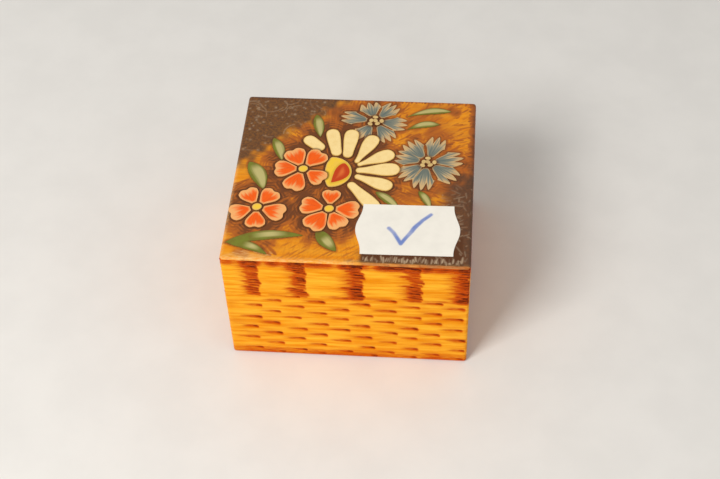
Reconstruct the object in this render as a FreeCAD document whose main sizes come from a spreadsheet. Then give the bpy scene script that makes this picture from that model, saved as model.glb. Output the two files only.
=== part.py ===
"""A small wooden trinket box with a hinged lid, in millimetres.

The box is built as a joiner builds it. Front and back boards have rabbeted ends that lap the side boards,
and the bottom panel is let into a rabbet under all four walls. The lid is the same frame of four boards,
sawn off above the seam, with a thin decorated panel glued on top. Two surface hinges are nailed to the back,
and a paper price label is stuck to the lid panel. The origin is the middle of the underside, +Z is up and
the front faces -Y.
"""

import FreeCAD, Part
import math
import os
import Sketcher

SIZES = [
    ("box_width", 61.0, "outside, left to right"),
    ("box_depth", 57.6, "outside, front to back, without the hinges"),
    ("body_height", 24.7, "from the underside to the seam"),
    ("lid_height", 13.3, "from the seam to the top of the lid panel"),
    ("wall_thick", 5.0, "the four walls and the four lid rails"),
    ("lap_depth", 2.5, "how far the side boards sink into the ends of the front and back boards"),
    ("bottom_thick", 3.0, "bottom panel"),
    ("bottom_lap", 2.5, "how far the bottom panel sinks into the walls"),
    ("bottom_clear", 0.1, "gap round the edge of the bottom panel"),
    ("lid_panel_thick", 2.2, "decorated panel on the lid"),
    ("edge_round", 0.8, "worn outside edges"),
    ("cut_overrun", 1.0, "how far a cut runs past the face that it opens"),
    ("hinge_inset", 13.5, "from the side of the box to the middle of a hinge"),
    ("hinge_length", 14.0, "along the hinge axis"),
    ("leaf_height", 7.2, "from the hinge axis to the far edge of a leaf"),
    ("leaf_thick", 0.6, "sheet of a leaf"),
    ("leaf_corner", 1.2, "rounded corners of a leaf"),
    ("leaf_gap", 0.3, "between a knuckle and the notch of the other leaf"),
    ("knuckle_radius", 1.1, "outside of a knuckle"),
    ("knuckle_gap", 0.2, "between two knuckles, along the axis"),
    ("knuckle_clear", 0.15, "between a knuckle and the wood"),
    ("pin_radius", 0.5, "hinge pin"),
    ("pin_clear", 0.05, "round the pin in the knuckle that turns"),
    ("pin_proud", 0.35, "how far the pin stands out at each end"),
    ("pin_round", 0.25, "rounded pin ends"),
    ("nail_pitch", 8.4, "between the two nails of a leaf"),
    ("nail_drop", 4.6, "from the hinge axis to the nails"),
    ("nail_radius", 0.4, "nail shank"),
    ("nail_head_radius", 0.95, "nail head"),
    ("nail_head_height", 0.42, "crown of a nail head"),
    ("nail_point", 0.9, "tapered end of a nail"),
    ("nail_cover", 1.4, "wood left in front of a nail's point"),
    ("label_waist", 22.6, "along the straight edges"),
    ("label_bulge", 1.55, "how far each end bulges past the straight edges"),
    ("label_height", 16.3, "between the straight edges"),
    ("label_thick", 0.12, "paper and glue"),
    ("label_from_right", 15.8, "from the right side of the box to the middle of the label"),
    ("label_from_front", 11.5, "from the front of the box to the middle of the label"),
    ("label_turn_angle", 0.8, "degrees, how far askew the label is stuck"),
]

KNUCKLES = 3
LEFT, RIGHT = -1, 1
FRONT, BACK = -1, 1
DOWN, UP = -1, 1
FULL_TURN = 360
SMALLEST_STEP_SHARE = 1e-6

doc = FreeCAD.newDocument("trinket_box")
sheet = doc.addObject("Spreadsheet::Sheet", "Sizes")
for row, (alias, value, meaning) in enumerate(SIZES, start=1):
    sheet.set(f"A{row}", alias)
    sheet.set(f"B{row}", str(value))
    sheet.setAlias(f"B{row}", alias)
    sheet.set(f"C{row}", meaning)
doc.recompute()


class Size:
    """A size that carries both its formula on the sheet's cells and its value."""

    def __init__(self, formula, value):
        self.formula = formula
        self.value = value

    def __add__(self, other):
        return joined(self, "+", other, self.value + as_size(other).value)

    def __sub__(self, other):
        return joined(self, "-", other, self.value - as_size(other).value)

    def __mul__(self, other):
        return joined(self, "*", other, self.value * as_size(other).value)

    def __rmul__(self, other):
        return as_size(other) * self

    def __truediv__(self, other):
        return joined(self, "/", other, self.value / as_size(other).value)

    def __neg__(self):
        return -1 * self


def as_size(thing):
    """A plain count or sign as a Size."""
    return thing if isinstance(thing, Size) else Size(str(thing), thing)


def joined(left, sign, right, value):
    """The Size of two sizes joined by an arithmetic sign."""
    return Size(f"({left.formula} {sign} {as_size(right).formula})", value)


def cell(alias):
    """The Size that stands in one cell of the sheet."""
    return Size(f"Sizes.{alias}", float(sheet.get(alias)))


# Sizes that several pieces share
HALF_WIDTH = cell("box_width") / 2
HALF_DEPTH = cell("box_depth") / 2
WALL = cell("wall_thick")
LIP = WALL - cell("lap_depth")
RIM = WALL - cell("bottom_lap")
SEAM = cell("body_height")
RAIL_HEIGHT = cell("lid_height") - cell("lid_panel_thick")
LID_PANEL_BASE = SEAM + RAIL_HEIGHT
LID_TOP = SEAM + cell("lid_height")
OVERRUN = cell("cut_overrun")
HINGE_X = HALF_WIDTH - cell("hinge_inset")
LEAF_SEAT = cell("knuckle_radius") + cell("knuckle_clear")
HINGE_Y = HALF_DEPTH + LEAF_SEAT
NAIL_BITE = WALL - cell("nail_cover")
NONE = Size("0", 0.0)


# Sketches and features
def bind(thing, prop, size):
    """Ties a property to the sheet."""
    thing.setExpression(prop, size.formula)


def new_body(label):
    """An empty body for one piece."""
    body = doc.addObject("PartDesign::Body", label)
    body.Label = label
    return body


def add_sketch(body, plane, lift=NONE):
    """A sketch on one of the body's own origin planes, lifted along that plane's normal."""
    sketch = body.newObject("Sketcher::SketchObject", f"{body.Label}_sketch")
    origin_plane = next(f for f in body.Origin.OriginFeatures if f.Role == plane)
    sketch.AttachmentSupport = (origin_plane, [""])
    sketch.MapMode = "FlatFace"
    bind(sketch, "AttachmentOffset.Base.z", lift)
    return sketch


def point(x, y):
    """The starting place of a sketch point."""
    return FreeCAD.Vector(x.value, y.value, 0)


def pin_point(sketch, geometry, position, x, y):
    """Holds a sketch point at its two distances from the sketch's origin."""
    for kind, size in (("DistanceX", x), ("DistanceY", y)):
        number = sketch.addConstraint(Sketcher.Constraint(kind, -1, 1, geometry, position, size.value))
        bind(sketch, f"Constraints[{number}]", size)


def arc_between(start, end, radius):
    """A counter-clockwise arc of under a half circle from start to end."""
    chord = end - start
    rise = math.sqrt(radius**2 - (chord.Length / 2) ** 2)
    square = FreeCAD.Vector(-chord.y, chord.x, 0).normalize()
    centre = start + chord / 2 + square * rise
    angles = [math.atan2(p.y - centre.y, p.x - centre.x) for p in (start, end)]
    return Part.ArcOfCircle(Part.Circle(centre, FreeCAD.Vector(0, 0, 1), radius), *angles)


def outline(sketch, corners, arcs=None):
    """A closed outline through its corners, counter-clockwise; arcs holds the radius of each round edge."""
    arcs = arcs or {}
    first = sketch.GeometryCount
    count = len(corners)
    for i in range(count):
        start, end = point(*corners[i]), point(*corners[(i + 1) % count])
        edge = arc_between(start, end, arcs[i].value) if i in arcs else Part.LineSegment(start, end)
        sketch.addGeometry(edge)
    for i, (x, y) in enumerate(corners):
        after = first + (i + 1) % count
        sketch.addConstraint(Sketcher.Constraint("Coincident", first + i, 2, after, 1))
        pin_point(sketch, first + i, 1, x, y)
    for i, radius in arcs.items():
        number = sketch.addConstraint(Sketcher.Constraint("Radius", first + i, radius.value))
        bind(sketch, f"Constraints[{number}]", radius)


def rectangle(sketch, x_low, x_high, y_low, y_high):
    """A rectangle with its sides along the sketch's axes."""
    outline(sketch, [(x_low, y_low), (x_high, y_low), (x_high, y_high), (x_low, y_high)])


def circle(sketch, x, y, radius):
    """A circle about one place."""
    number = sketch.addGeometry(Part.Circle(point(x, y), FreeCAD.Vector(0, 0, 1), radius.value))
    pin_point(sketch, number, 3, x, y)
    held = sketch.addConstraint(Sketcher.Constraint("Radius", number, radius.value))
    bind(sketch, f"Constraints[{held}]", radius)


def pad(body, sketch, length, both_ways=False):
    """Grows a sketch into a solid, along its normal or half each way."""
    feature = body.newObject("PartDesign::Pad", f"{body.Label}_pad")
    feature.Profile = sketch
    bind(feature, "Length", length)
    feature.SideType = "Symmetric" if both_ways else "One side"
    doc.recompute()


def pocket(body, sketch, depth=None, reverse=False):
    """Cuts a sketch out of the body, right through or to a depth, and makes sure that it cut something."""
    before = body.Shape.Volume
    feature = body.newObject("PartDesign::Pocket", f"{body.Label}_pocket")
    feature.Profile = sketch
    feature.Reversed = reverse
    if depth is None:
        feature.Type = "ThroughAll"
        feature.SideType = "Symmetric"
    else:
        bind(feature, "Length", depth)
    doc.recompute()
    if not body.Shape.Volume < before:
        raise RuntimeError(f"{feature.Name} cut nothing")


def lies_at(edge, axis, size):
    """True if an edge lies in the plane at that place on the X, Y or Z axis."""
    box = edge.BoundBox
    low, high = getattr(box, f"{axis}Min"), getattr(box, f"{axis}Max")
    near = SMALLEST_STEP_SHARE * HALF_WIDTH.value
    return abs(low - size.value) < near and abs(high - size.value) < near


def round_edges(body, radius, chosen):
    """Rounds the edges of the body for which chosen is true."""
    names = [f"Edge{i}" for i, edge in enumerate(body.Shape.Edges, start=1) if chosen(edge)]
    if not names:
        raise RuntimeError(f"{body.Label} has no such edge to round")
    rounded = body.Tip
    feature = body.newObject("PartDesign::Fillet", f"{body.Label}_round")
    feature.Base = (rounded, names)
    bind(feature, "Radius", radius)
    doc.recompute()


def place(thing, x, y, z):
    """Puts a piece at a place worked out from the sheet."""
    for axis, size in zip("xyz", (x, y, z)):
        bind(thing, f"Placement.Base.{axis}", size)


# Boards of the box and of the lid
def is_outside_corner(edge, face):
    """An upright edge where an end of the board meets its outer face."""
    return lies_at(edge, "Y", face) and (lies_at(edge, "X", HALF_WIDTH) or lies_at(edge, "X", -HALF_WIDTH))


def is_outside_foot(edge, face):
    """An edge of the underside along the outer face or along an end of the board."""
    if not lies_at(edge, "Z", NONE):
        return False
    return lies_at(edge, "Y", face) or lies_at(edge, "X", HALF_WIDTH) or lies_at(edge, "X", -HALF_WIDTH)


def lapped_board(label, side, base, height):
    """A full-width front or back board whose rabbeted ends take the side boards."""
    outer = side * HALF_DEPTH
    lip = side * (HALF_DEPTH - LIP)
    inner = side * (HALF_DEPTH - WALL)
    shoulder = HALF_WIDTH - WALL
    corners = [
        (-HALF_WIDTH, outer),
        (HALF_WIDTH, outer),
        (HALF_WIDTH, lip),
        (shoulder, lip),
        (shoulder, inner),
        (-shoulder, inner),
        (-shoulder, lip),
        (-HALF_WIDTH, lip),
    ]
    body = new_body(label)
    plan = add_sketch(body, "XY_Plane", base)
    outline(plan, corners)
    pad(body, plan, height)
    return body, outer


def side_board(label, side, base, height):
    """A left or right board, held between the lips of the front and back boards."""
    body = new_body(label)
    plan = add_sketch(body, "XY_Plane", base)
    faces = [side * (HALF_WIDTH - WALL), side * HALF_WIDTH]
    low, high = sorted(faces, key=lambda size: size.value)
    rectangle(plan, low, high, LIP - HALF_DEPTH, HALF_DEPTH - LIP)
    pad(body, plan, height)
    return body


def rabbet(body, plane, side, half):
    """The step under a wall that the bottom panel sits in."""
    edges = [side * (half - WALL - OVERRUN), side * (half - RIM)]
    low, high = sorted(edges, key=lambda size: size.value)
    step = add_sketch(body, plane)
    rectangle(step, low, high, -OVERRUN, cell("bottom_thick"))
    pocket(body, step)


def nail_places(rise):
    """X and Z of each nail on the back, for the leaves above or below the seam."""
    for hinge in (LEFT, RIGHT):
        for nail in (LEFT, RIGHT):
            yield hinge * HINGE_X + nail * cell("nail_pitch") / 2, SEAM + rise * cell("nail_drop")


def drill_for_nails(body, rise):
    """Holes in the back of a board for the hinge nails."""
    holes = add_sketch(body, "XZ_Plane", -HALF_DEPTH)
    for x, z in nail_places(rise):
        circle(holes, x, z, cell("nail_radius"))
    pocket(body, holes, NAIL_BITE, reverse=True)


def make_walls():
    """The four walls of the box."""
    for label, side in (("front_wall", FRONT), ("back_wall", BACK)):
        body, outer = lapped_board(label, side, NONE, SEAM)
        round_edges(
            body,
            cell("edge_round"),
            lambda edge, face=outer: is_outside_corner(edge, face) or is_outside_foot(edge, face),
        )
        rabbet(body, "YZ_Plane", side, HALF_DEPTH)
        if side == BACK:
            drill_for_nails(body, DOWN)
    for label, side in (("left_wall", LEFT), ("right_wall", RIGHT)):
        body = side_board(label, side, NONE, SEAM)
        outer = side * HALF_WIDTH
        round_edges(
            body,
            cell("edge_round"),
            lambda edge, face=outer: lies_at(edge, "Z", NONE) and lies_at(edge, "X", face),
        )
        rabbet(body, "XZ_Plane", side, HALF_WIDTH)


def make_bottom():
    """The bottom panel, flush with the underside of the walls."""
    body = new_body("bottom_panel")
    plan = add_sketch(body, "XY_Plane")
    x = HALF_WIDTH - RIM - cell("bottom_clear")
    y = HALF_DEPTH - RIM - cell("bottom_clear")
    rectangle(plan, -x, x, -y, y)
    pad(body, plan, cell("bottom_thick"))


def make_lid():
    """The lid's four rails and the panel that covers them."""
    for label, side in (("lid_front_rail", FRONT), ("lid_back_rail", BACK)):
        body, outer = lapped_board(label, side, SEAM, RAIL_HEIGHT)
        round_edges(body, cell("edge_round"), lambda edge, face=outer: is_outside_corner(edge, face))
        if side == BACK:
            drill_for_nails(body, UP)
    for label, side in (("lid_left_rail", LEFT), ("lid_right_rail", RIGHT)):
        side_board(label, side, SEAM, RAIL_HEIGHT)
    body = new_body("lid_panel")
    plan = add_sketch(body, "XY_Plane", LID_PANEL_BASE)
    rectangle(plan, -HALF_WIDTH, HALF_WIDTH, -HALF_DEPTH, HALF_DEPTH)
    pad(body, plan, cell("lid_panel_thick"))
    round_edges(body, cell("edge_round"), lambda edge: not lies_at(edge, "Z", LID_PANEL_BASE))


# Hinges
def hinge_leaf(label, side, rise):
    """A leaf with its knuckles: two outer ones below the seam, the middle one above it."""
    length = cell("hinge_length")
    radius = cell("knuckle_radius")
    turns = rise == UP
    body = new_body(label)

    sheet_metal = add_sketch(body, "YZ_Plane")
    ends = [NONE, rise * cell("leaf_height")]
    low, high = sorted(ends, key=lambda size: size.value)
    rectangle(sheet_metal, -LEAF_SEAT, cell("leaf_thick") - LEAF_SEAT, low, high)
    pad(body, sheet_metal, length, both_ways=True)
    far_edge = rise * cell("leaf_height")
    round_edges(
        body,
        cell("leaf_corner"),
        lambda edge: lies_at(edge, "Z", far_edge)
        and (lies_at(edge, "X", length / 2) or lies_at(edge, "X", -length / 2)),
    )

    barrel = add_sketch(body, "YZ_Plane")
    circle(barrel, NONE, NONE, radius)
    pad(body, barrel, length, both_ways=True)

    notch = add_sketch(body, "XZ_Plane")
    half_middle = length / (2 * KNUCKLES)
    deep = rise * (radius + cell("leaf_gap"))
    clear = -rise * (radius + OVERRUN)
    low, high = sorted([deep, clear], key=lambda size: size.value)
    if turns:
        inner = half_middle - cell("knuckle_gap") / 2
        outer = length / 2 + OVERRUN
        rectangle(notch, inner, outer, low, high)
        rectangle(notch, -outer, -inner, low, high)
    else:
        half_notch = half_middle + cell("knuckle_gap") / 2
        rectangle(notch, -half_notch, half_notch, low, high)
    pocket(body, notch)

    bore = add_sketch(body, "YZ_Plane")
    circle(bore, NONE, NONE, cell("pin_radius") + cell("pin_clear") if turns else cell("pin_radius"))
    pocket(body, bore)

    holes = add_sketch(body, "XZ_Plane")
    for nail in (LEFT, RIGHT):
        circle(holes, nail * cell("nail_pitch") / 2, rise * cell("nail_drop"), cell("nail_radius"))
    pocket(body, holes)
    place(body, side * HINGE_X, HINGE_Y, SEAM)


def hinge_pin(label, side):
    """The pin that the two leaves turn on, rounded over at both ends."""
    length = cell("hinge_length") + 2 * cell("pin_proud")
    body = new_body(label)
    section = add_sketch(body, "YZ_Plane")
    circle(section, NONE, NONE, cell("pin_radius"))
    pad(body, section, length, both_ways=True)
    round_edges(
        body,
        cell("pin_round"),
        lambda edge: lies_at(edge, "X", length / 2) or lies_at(edge, "X", -length / 2),
    )
    place(body, side * HINGE_X, HINGE_Y, SEAM)


def nail_profile():
    """Half the section of a domed nail: +Y points out of its head, and the head's underside is at zero."""
    head, crown = cell("nail_head_radius"), cell("nail_head_height")
    shank = cell("nail_radius")
    reach = cell("leaf_thick") + NAIL_BITE
    profile = doc.addObject("Sketcher::SketchObject", "nail_profile")
    dome = (head * head + crown * crown) / (2 * crown)
    corners = [
        (NONE, -reach),
        (shank, cell("nail_point") - reach),
        (shank, NONE),
        (head, NONE),
        (NONE, crown),
    ]
    outline(profile, corners, {3: dome})
    return profile


def hinge_nails(label, side, rise, profile):
    """The two nails of one leaf, as one group."""
    nails = []
    for nail in (LEFT, RIGHT):
        turned = doc.addObject("Part::Revolution", f"{label}_nail")
        turned.Source = profile
        turned.Axis = FreeCAD.Vector(0, 1, 0)
        turned.Angle = FULL_TURN
        turned.Solid = True
        x = side * HINGE_X + nail * cell("nail_pitch") / 2
        place(turned, x, HALF_DEPTH + cell("leaf_thick"), SEAM + rise * cell("nail_drop"))
        nails.append(turned)
    group = doc.addObject("Part::Compound", label)
    group.Label = label
    group.Links = nails


def make_hinges():
    """Both hinges, with their pins and nails."""
    profile = nail_profile()
    for word, side in (("left", LEFT), ("right", RIGHT)):
        hinge_pin(f"{word}_hinge_pin", side)
        for part, rise in (("base", DOWN), ("lid", UP)):
            hinge_leaf(f"{word}_hinge_{part}_leaf", side, rise)
            hinge_nails(f"{word}_hinge_{part}_nails", side, rise, profile)


def make_label():
    """The paper label on the lid, straight along two edges and bulging at both ends."""
    half_waist = cell("label_waist") / 2
    half_height = cell("label_height") / 2
    bulge = cell("label_bulge")
    end_radius = (half_height * half_height + bulge * bulge) / (2 * bulge)
    body = new_body("price_label")
    plan = add_sketch(body, "XY_Plane")
    corners = [
        (-half_waist, -half_height),
        (half_waist, -half_height),
        (half_waist, half_height),
        (-half_waist, half_height),
    ]
    outline(plan, corners, {1: end_radius, 3: end_radius})
    pad(body, plan, cell("label_thick"))
    turn = cell("label_turn_angle")
    upright = FreeCAD.Vector(0, 0, 1)
    body.Placement = FreeCAD.Placement(FreeCAD.Vector(), FreeCAD.Rotation(upright, turn.value))
    bind(body, "Placement.Rotation.Angle", turn)
    place(body, HALF_WIDTH - cell("label_from_right"), cell("label_from_front") - HALF_DEPTH, LID_TOP)


def export_pieces():
    """Checks every object of the document, then writes one file for each piece."""
    doc.recompute()
    broken = [o.Label for o in doc.Objects if {"Invalid", "Error"} & set(o.State)]
    pieces = [o for o in doc.Objects if o.TypeId in ("PartDesign::Body", "Part::Compound")]
    broken += [p.Label for p in pieces if p.Shape.isNull() or not p.Shape.isValid() or not p.Shape.Solids]
    if broken:
        raise RuntimeError(f"these did not build: {broken}")
    os.makedirs("parts", exist_ok=True)
    for piece in pieces:
        piece.Shape.exportStep(os.path.join("parts", f"{piece.Label}.step"))
        print(f"{piece.Label}: {len(piece.Shape.Solids)} solid(s), {piece.Shape.Volume:.1f} mm3")


make_walls()
make_bottom()
make_lid()
make_hinges()
make_label()
export_pieces()
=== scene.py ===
"""Finishes a packed trinket box: burnt boards, a painted lid panel, brass hinges and a paper label.

Shapes are worked out in millimetres and scaled to metres when a piece is added to the scene. The front of
the box faces -Y, and a side is described by s, along it to the right as seen from outside, and by z, the
height.
"""

import math
from collections import namedtuple

import bmesh
import bpy
import numpy as np
from bpy.props import FloatProperty, FloatVectorProperty, IntProperty, PointerProperty
from mathutils import Euler, Matrix, Vector


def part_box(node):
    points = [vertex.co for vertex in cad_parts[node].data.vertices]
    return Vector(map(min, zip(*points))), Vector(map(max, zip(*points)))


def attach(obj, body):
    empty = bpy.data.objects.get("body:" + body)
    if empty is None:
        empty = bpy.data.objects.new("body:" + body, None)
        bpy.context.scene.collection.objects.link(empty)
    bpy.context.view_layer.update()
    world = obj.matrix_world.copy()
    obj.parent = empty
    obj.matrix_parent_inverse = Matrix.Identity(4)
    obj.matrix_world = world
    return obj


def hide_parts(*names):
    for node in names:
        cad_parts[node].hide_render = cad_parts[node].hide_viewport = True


bl_info = {
    "name": "Painted trinket box",
    "version": (1, 0, 0),
    "blender": (4, 5, 0),
    "location": "3D View > Sidebar > Trinket Box",
    "description": "Makes the finished surfaces of a small burnt and painted wooden box",
    "category": "Add Mesh",
}

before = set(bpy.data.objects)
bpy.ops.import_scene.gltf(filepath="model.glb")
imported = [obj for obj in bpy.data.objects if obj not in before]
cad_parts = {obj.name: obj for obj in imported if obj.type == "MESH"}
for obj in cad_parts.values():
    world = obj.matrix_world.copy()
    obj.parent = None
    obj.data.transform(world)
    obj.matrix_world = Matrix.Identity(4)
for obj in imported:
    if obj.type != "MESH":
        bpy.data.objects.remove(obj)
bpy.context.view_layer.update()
MM = 0.001


def node_box(node):
    """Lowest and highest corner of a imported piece, in millimetres."""
    low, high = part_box(node)
    return low / MM, high / MM


FRONT_WALL = node_box("front_wall")
BOTTOM_PANEL = node_box("bottom_panel")
LID_PANEL = node_box("lid_panel")
LABEL = node_box("price_label")
HALF_WIDTH = FRONT_WALL[1].x
HALF_DEPTH = -FRONT_WALL[0].y
WALL = FRONT_WALL[1].y - FRONT_WALL[0].y
SEAM = FRONT_WALL[1].z
LIP = HALF_DEPTH - node_box("left_wall")[1].y
PANEL_BASE = LID_PANEL[0].z
LID_TOP = LID_PANEL[1].z
BOTTOM_CLEAR = 0.1
RIM = HALF_WIDTH - BOTTOM_PANEL[1].x - BOTTOM_CLEAR
TINY = 1e-3
NEARLY_SAME = 0.6
# The number and half the length of each side
SIDES = {"front": (1, HALF_WIDTH), "right": (2, HALF_DEPTH), "back": (3, HALF_WIDTH), "left": (4, HALF_DEPTH)}


# Settings
def srgb(code):
    """A colour written as #rrggbb, in Blender's linear values."""
    shares = [int(code[i : i + 2], 16) / 255 for i in (1, 3, 5)]
    return tuple(c / 12.92 if c <= 0.04045 else ((c + 0.055) / 1.055) ** 2.4 for c in shares)


def length(name, description, millimetres):
    """A size that a user may change."""
    return FloatProperty(
        name=name, description=description, default=millimetres * MM, min=0, unit="LENGTH", precision=5
    )


def angle(name, description, degrees):
    """A turn that a user may change."""
    return FloatProperty(name=name, description=description, default=math.radians(degrees), subtype="ANGLE")


def colour(name, description, code):
    """A colour that a user may change."""
    return FloatVectorProperty(
        name=name, description=description, default=srgb(code), min=0, max=1, size=3, subtype="COLOR"
    )


class TrinketBoardSettings(bpy.types.PropertyGroup):
    """Edges of the boards and the fineness of their burnt faces."""

    edge_round: length("Edge round", "Radius of the worn outside edges", 0.8)
    seam_round: length("Seam round", "Broken edge along the seam of the lid", 0.09)
    joint_round: length("Joint round", "Broken edge along the lid panel", 0.02)
    side_step: length("Side step", "Width of a mesh face on the burnt sides", 0.32)
    rise_step: length("Rise step", "Height of a mesh face on the burnt sides", 0.17)
    panel_step: length("Panel step", "Size of a mesh face on the lid panel", 0.215)


class TrinketBurnSettings(bpy.types.PropertyGroup):
    """The pattern burnt into the four sides."""

    dash_pitch: length("Dash pitch", "Between two columns of dashes", 5.8)
    row_pitch: length("Row pitch", "Between two dashes of a column", 4.45)
    dash_length: length("Dash length", "From the head of a dash to the end of its tail", 6.4)
    dash_height: length("Dash height", "Half the height of a dash", 0.5)
    dash_depth: length("Dash depth", "How deep the head of a dash is burnt", 0.3)
    bar_width: length("Bar width", "Dark part of a scorched bar on the lid", 3.5)
    bar_depth: length("Bar depth", "How deep a scorched bar is", 0.16)
    seed: IntProperty(name="Seed", description="Changes the hand of the burner", default=7)


class TrinketWoodSettings(bpy.types.PropertyGroup):
    """Colours of the wood, from varnished to charred."""

    amber: colour("Amber", "Varnished wood", "#ffba30")
    honey: colour("Honey", "Darker grain of the varnished wood", "#ea8a00")
    toast: colour("Toast", "Lightly burnt wood", "#c44a00")
    char: colour("Char", "Darkest burnt wood", "#480e00")
    bare: colour("Bare wood", "Unvarnished wood inside the box", "#d9b27c")
    bare_grain: colour("Bare grain", "Grain of the unvarnished wood", "#b98a52")


class TrinketPaintSettings(bpy.types.PropertyGroup):
    """Colours of the painted lid."""

    ground: colour("Ground", "Lid panel where it is barely burnt", "#ef9c1e")
    tan: colour("Tan", "Lid panel where it is lightly burnt", "#b4601c")
    umber: colour("Umber", "Burnt shading round the flowers", "#733f1b")
    soot: colour("Soot", "Burnt corners of the lid panel", "#593c28")
    outline: colour("Outline", "Lines burnt round the flowers", "#5a3216")
    # The scratch colour also paints the glints on the strip in front of the label, a painted highlight
    scratch_and_glint: colour("Scratch", "Fine light lines in the dark corners", "#c4a988")
    # Worn edge colour: partly bare wood, partly painted highlight on the edges that face the lamp
    worn: colour("Worn edge", "Bare wood along the worn front edge", "#f3c67f")
    red: colour("Red", "Middle of a red petal", "#fa620a")
    peach: colour("Peach", "Rim of a red petal", "#f7b06a")
    cream: colour("Cream", "Daisy petals", "#ffdf99")
    straw: colour("Straw", "Base of a daisy petal", "#e6b964")
    yellow: colour("Yellow", "Eyes of the flowers", "#facc3d")
    rust: colour("Rust", "Comma in the eye of the daisy", "#c8400f")
    ember: colour("Ember", "Streak in the comma of the daisy", "#ea7834")
    navy: colour("Navy", "Base of a cornflower petal", "#677068")
    blue: colour("Blue", "Middle of a cornflower petal", "#9c967e")
    mist: colour("Mist", "Tips of the cornflower petals", "#dab278")
    stamen: colour("Stamen", "Middle of a cornflower", "#e2c07c")
    leaf: colour("Leaf", "Dark green of the leaves", "#787d28")
    sap: colour("Sap", "Pale streak along a leaf", "#c8ba78")


class TrinketMetalSettings(bpy.types.PropertyGroup):
    """Colours of the hinges."""

    brass: colour("Brass", "Hinge leaves where they are clean", "#d3a552")
    tarnish: colour("Tarnish", "Darkened brass", "#7d5a28")
    nail: colour("Nail", "Nail heads", "#d9b161")
    steel: colour("Steel", "Hinge pins", "#8f8d88")


class TrinketLabelSettings(bpy.types.PropertyGroup):
    """The paper label on the lid."""

    waist: length("Waist", "Length of the straight edges", 22.6)
    height: length("Height", "Between the straight edges", 16.3)
    bulge: length("Bulge", "How far each end bulges", 1.55)
    thickness: length("Thickness", "Paper and glue", 0.07)
    curl: length("Curl", "How far the corners lift", 0.03)
    turn: angle("Turn", "How far askew it is stuck", 0.8)
    pen_width: length("Pen width", "Half the width of the pen stroke", 0.62)
    paper: colour("Paper", "Label paper", "#f7f0e2")
    ink: colour("Ink", "Pen stroke", "#7287c4")


class TrinketStageSettings(bpy.types.PropertyGroup):
    """Floor, light and camera."""

    floor: colour("Floor", "Pale floor", "#e9e5de")
    floor_radius: FloatProperty(
        name="Floor radius", description="Reach of the floor", default=2.5, unit="LENGTH"
    )
    sky: FloatProperty(name="Sky", description="Even light from all round", default=0.46)
    key_power: FloatProperty(name="Key", description="Light from the front left", default=4.6, unit="POWER")
    fill_power: FloatProperty(name="Fill", description="Light from the right", default=0.35, unit="POWER")
    camera_place: FloatVectorProperty(
        name="Camera place",
        description="Where the camera stands",
        default=(0.02692, -0.23545, 0.28614),
        size=3,
        subtype="TRANSLATION",
        unit="LENGTH",
    )
    elevation: angle("Elevation", "How far the camera looks down", 48.99)
    azimuth: angle("Azimuth", "How far right the camera stands", 6.29)
    roll: angle("Roll", "Lean of the camera", -2.47)
    lens: FloatProperty(name="Lens", description="Focal length", default=67.43, unit="CAMERA")


SETTINGS = {
    "trinket_board": TrinketBoardSettings,
    "trinket_burn": TrinketBurnSettings,
    "trinket_wood": TrinketWoodSettings,
    "trinket_paint": TrinketPaintSettings,
    "trinket_metal": TrinketMetalSettings,
    "trinket_label": TrinketLabelSettings,
    "trinket_stage": TrinketStageSettings,
}


# Numbers over many points at once
WANDER_SIZE = 512
WANDER_START = 200


def smooth(low, high, value):
    """0 below low, 1 above high, with a soft step between; low may be the larger."""
    t = np.clip((np.asarray(value, float) - low) / (high - low), 0, 1)
    return t * t * (3 - 2 * t)


def bell(value, width, power=2):
    """1 at 0, falling off softly on both sides."""
    return np.exp(-(np.abs(value / width) ** power))


def wander(seed, places, step):
    """A smooth random line between -1 and 1, read at the given places."""
    table = np.random.default_rng(seed).uniform(-1, 1, WANDER_SIZE)
    t = np.asarray(places, float) / step + WANDER_START
    low = np.floor(t).astype(int)
    part = smooth(0, 1, t - low)
    return table[low % WANDER_SIZE] * (1 - part) + table[(low + 1) % WANDER_SIZE] * part


def highest(*fields):
    """The largest of several values at each point."""
    return np.maximum.reduce(fields)


def raise_to(field, near, values):
    """Raises a field at some of its points to at least the given values."""
    field[near] = np.maximum(field[near], values)


def segment_distance(x, y, start, end):
    """Distance of each point from a line, and how far along it the nearest place is."""
    start, end = np.array(start, float), np.array(end, float)
    run = end - start
    t = np.clip(((x - start[0]) * run[0] + (y - start[1]) * run[1]) / (run @ run), 0, 1)
    return np.hypot(x - start[0] - t * run[0], y - start[1] - t * run[1]), t


def signed_distance(x, y, outline):
    """Distance of each point from a closed outline, negative inside it."""
    after = np.roll(outline, -1, axis=0)
    inside = np.zeros(x.shape, bool)
    gap = np.full(x.shape, np.inf)
    for a, b in zip(outline, after):
        if np.allclose(a, b):
            continue
        gap = np.minimum(gap, segment_distance(x, y, a, b)[0])
        if a[1] != b[1]:
            crosses = (a[1] > y) != (b[1] > y)
            inside ^= crosses & (x < a[0] + (y - a[1]) / (b[1] - a[1]) * (b[0] - a[0]))
    return np.where(inside, -gap, gap)


def near_box(x, y, outline, margin):
    """Indices of the points inside an outline's box, widened by a margin."""
    low, high = outline.min(0) - margin, outline.max(0) + margin
    return np.flatnonzero((x > low[0]) & (x < high[0]) & (y > low[1]) & (y < high[1]))


# Pieces
def points_of(bm):
    """Places of all the points of a mesh, as an array."""
    return np.array([v.co for v in bm.verts], float).reshape(-1, 3)


def move_points(bm, places):
    """Puts all the points of a mesh in new places."""
    for vert, place in zip(bm.verts, places):
        vert.co = place


def keep_values(bm, **fields):
    """Stores one value for each point under a name that a material can read."""
    for name, values in fields.items():
        layer = bm.verts.layers.float.new(name)
        for vert, value in zip(bm.verts, values):
            vert[layer] = value


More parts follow.
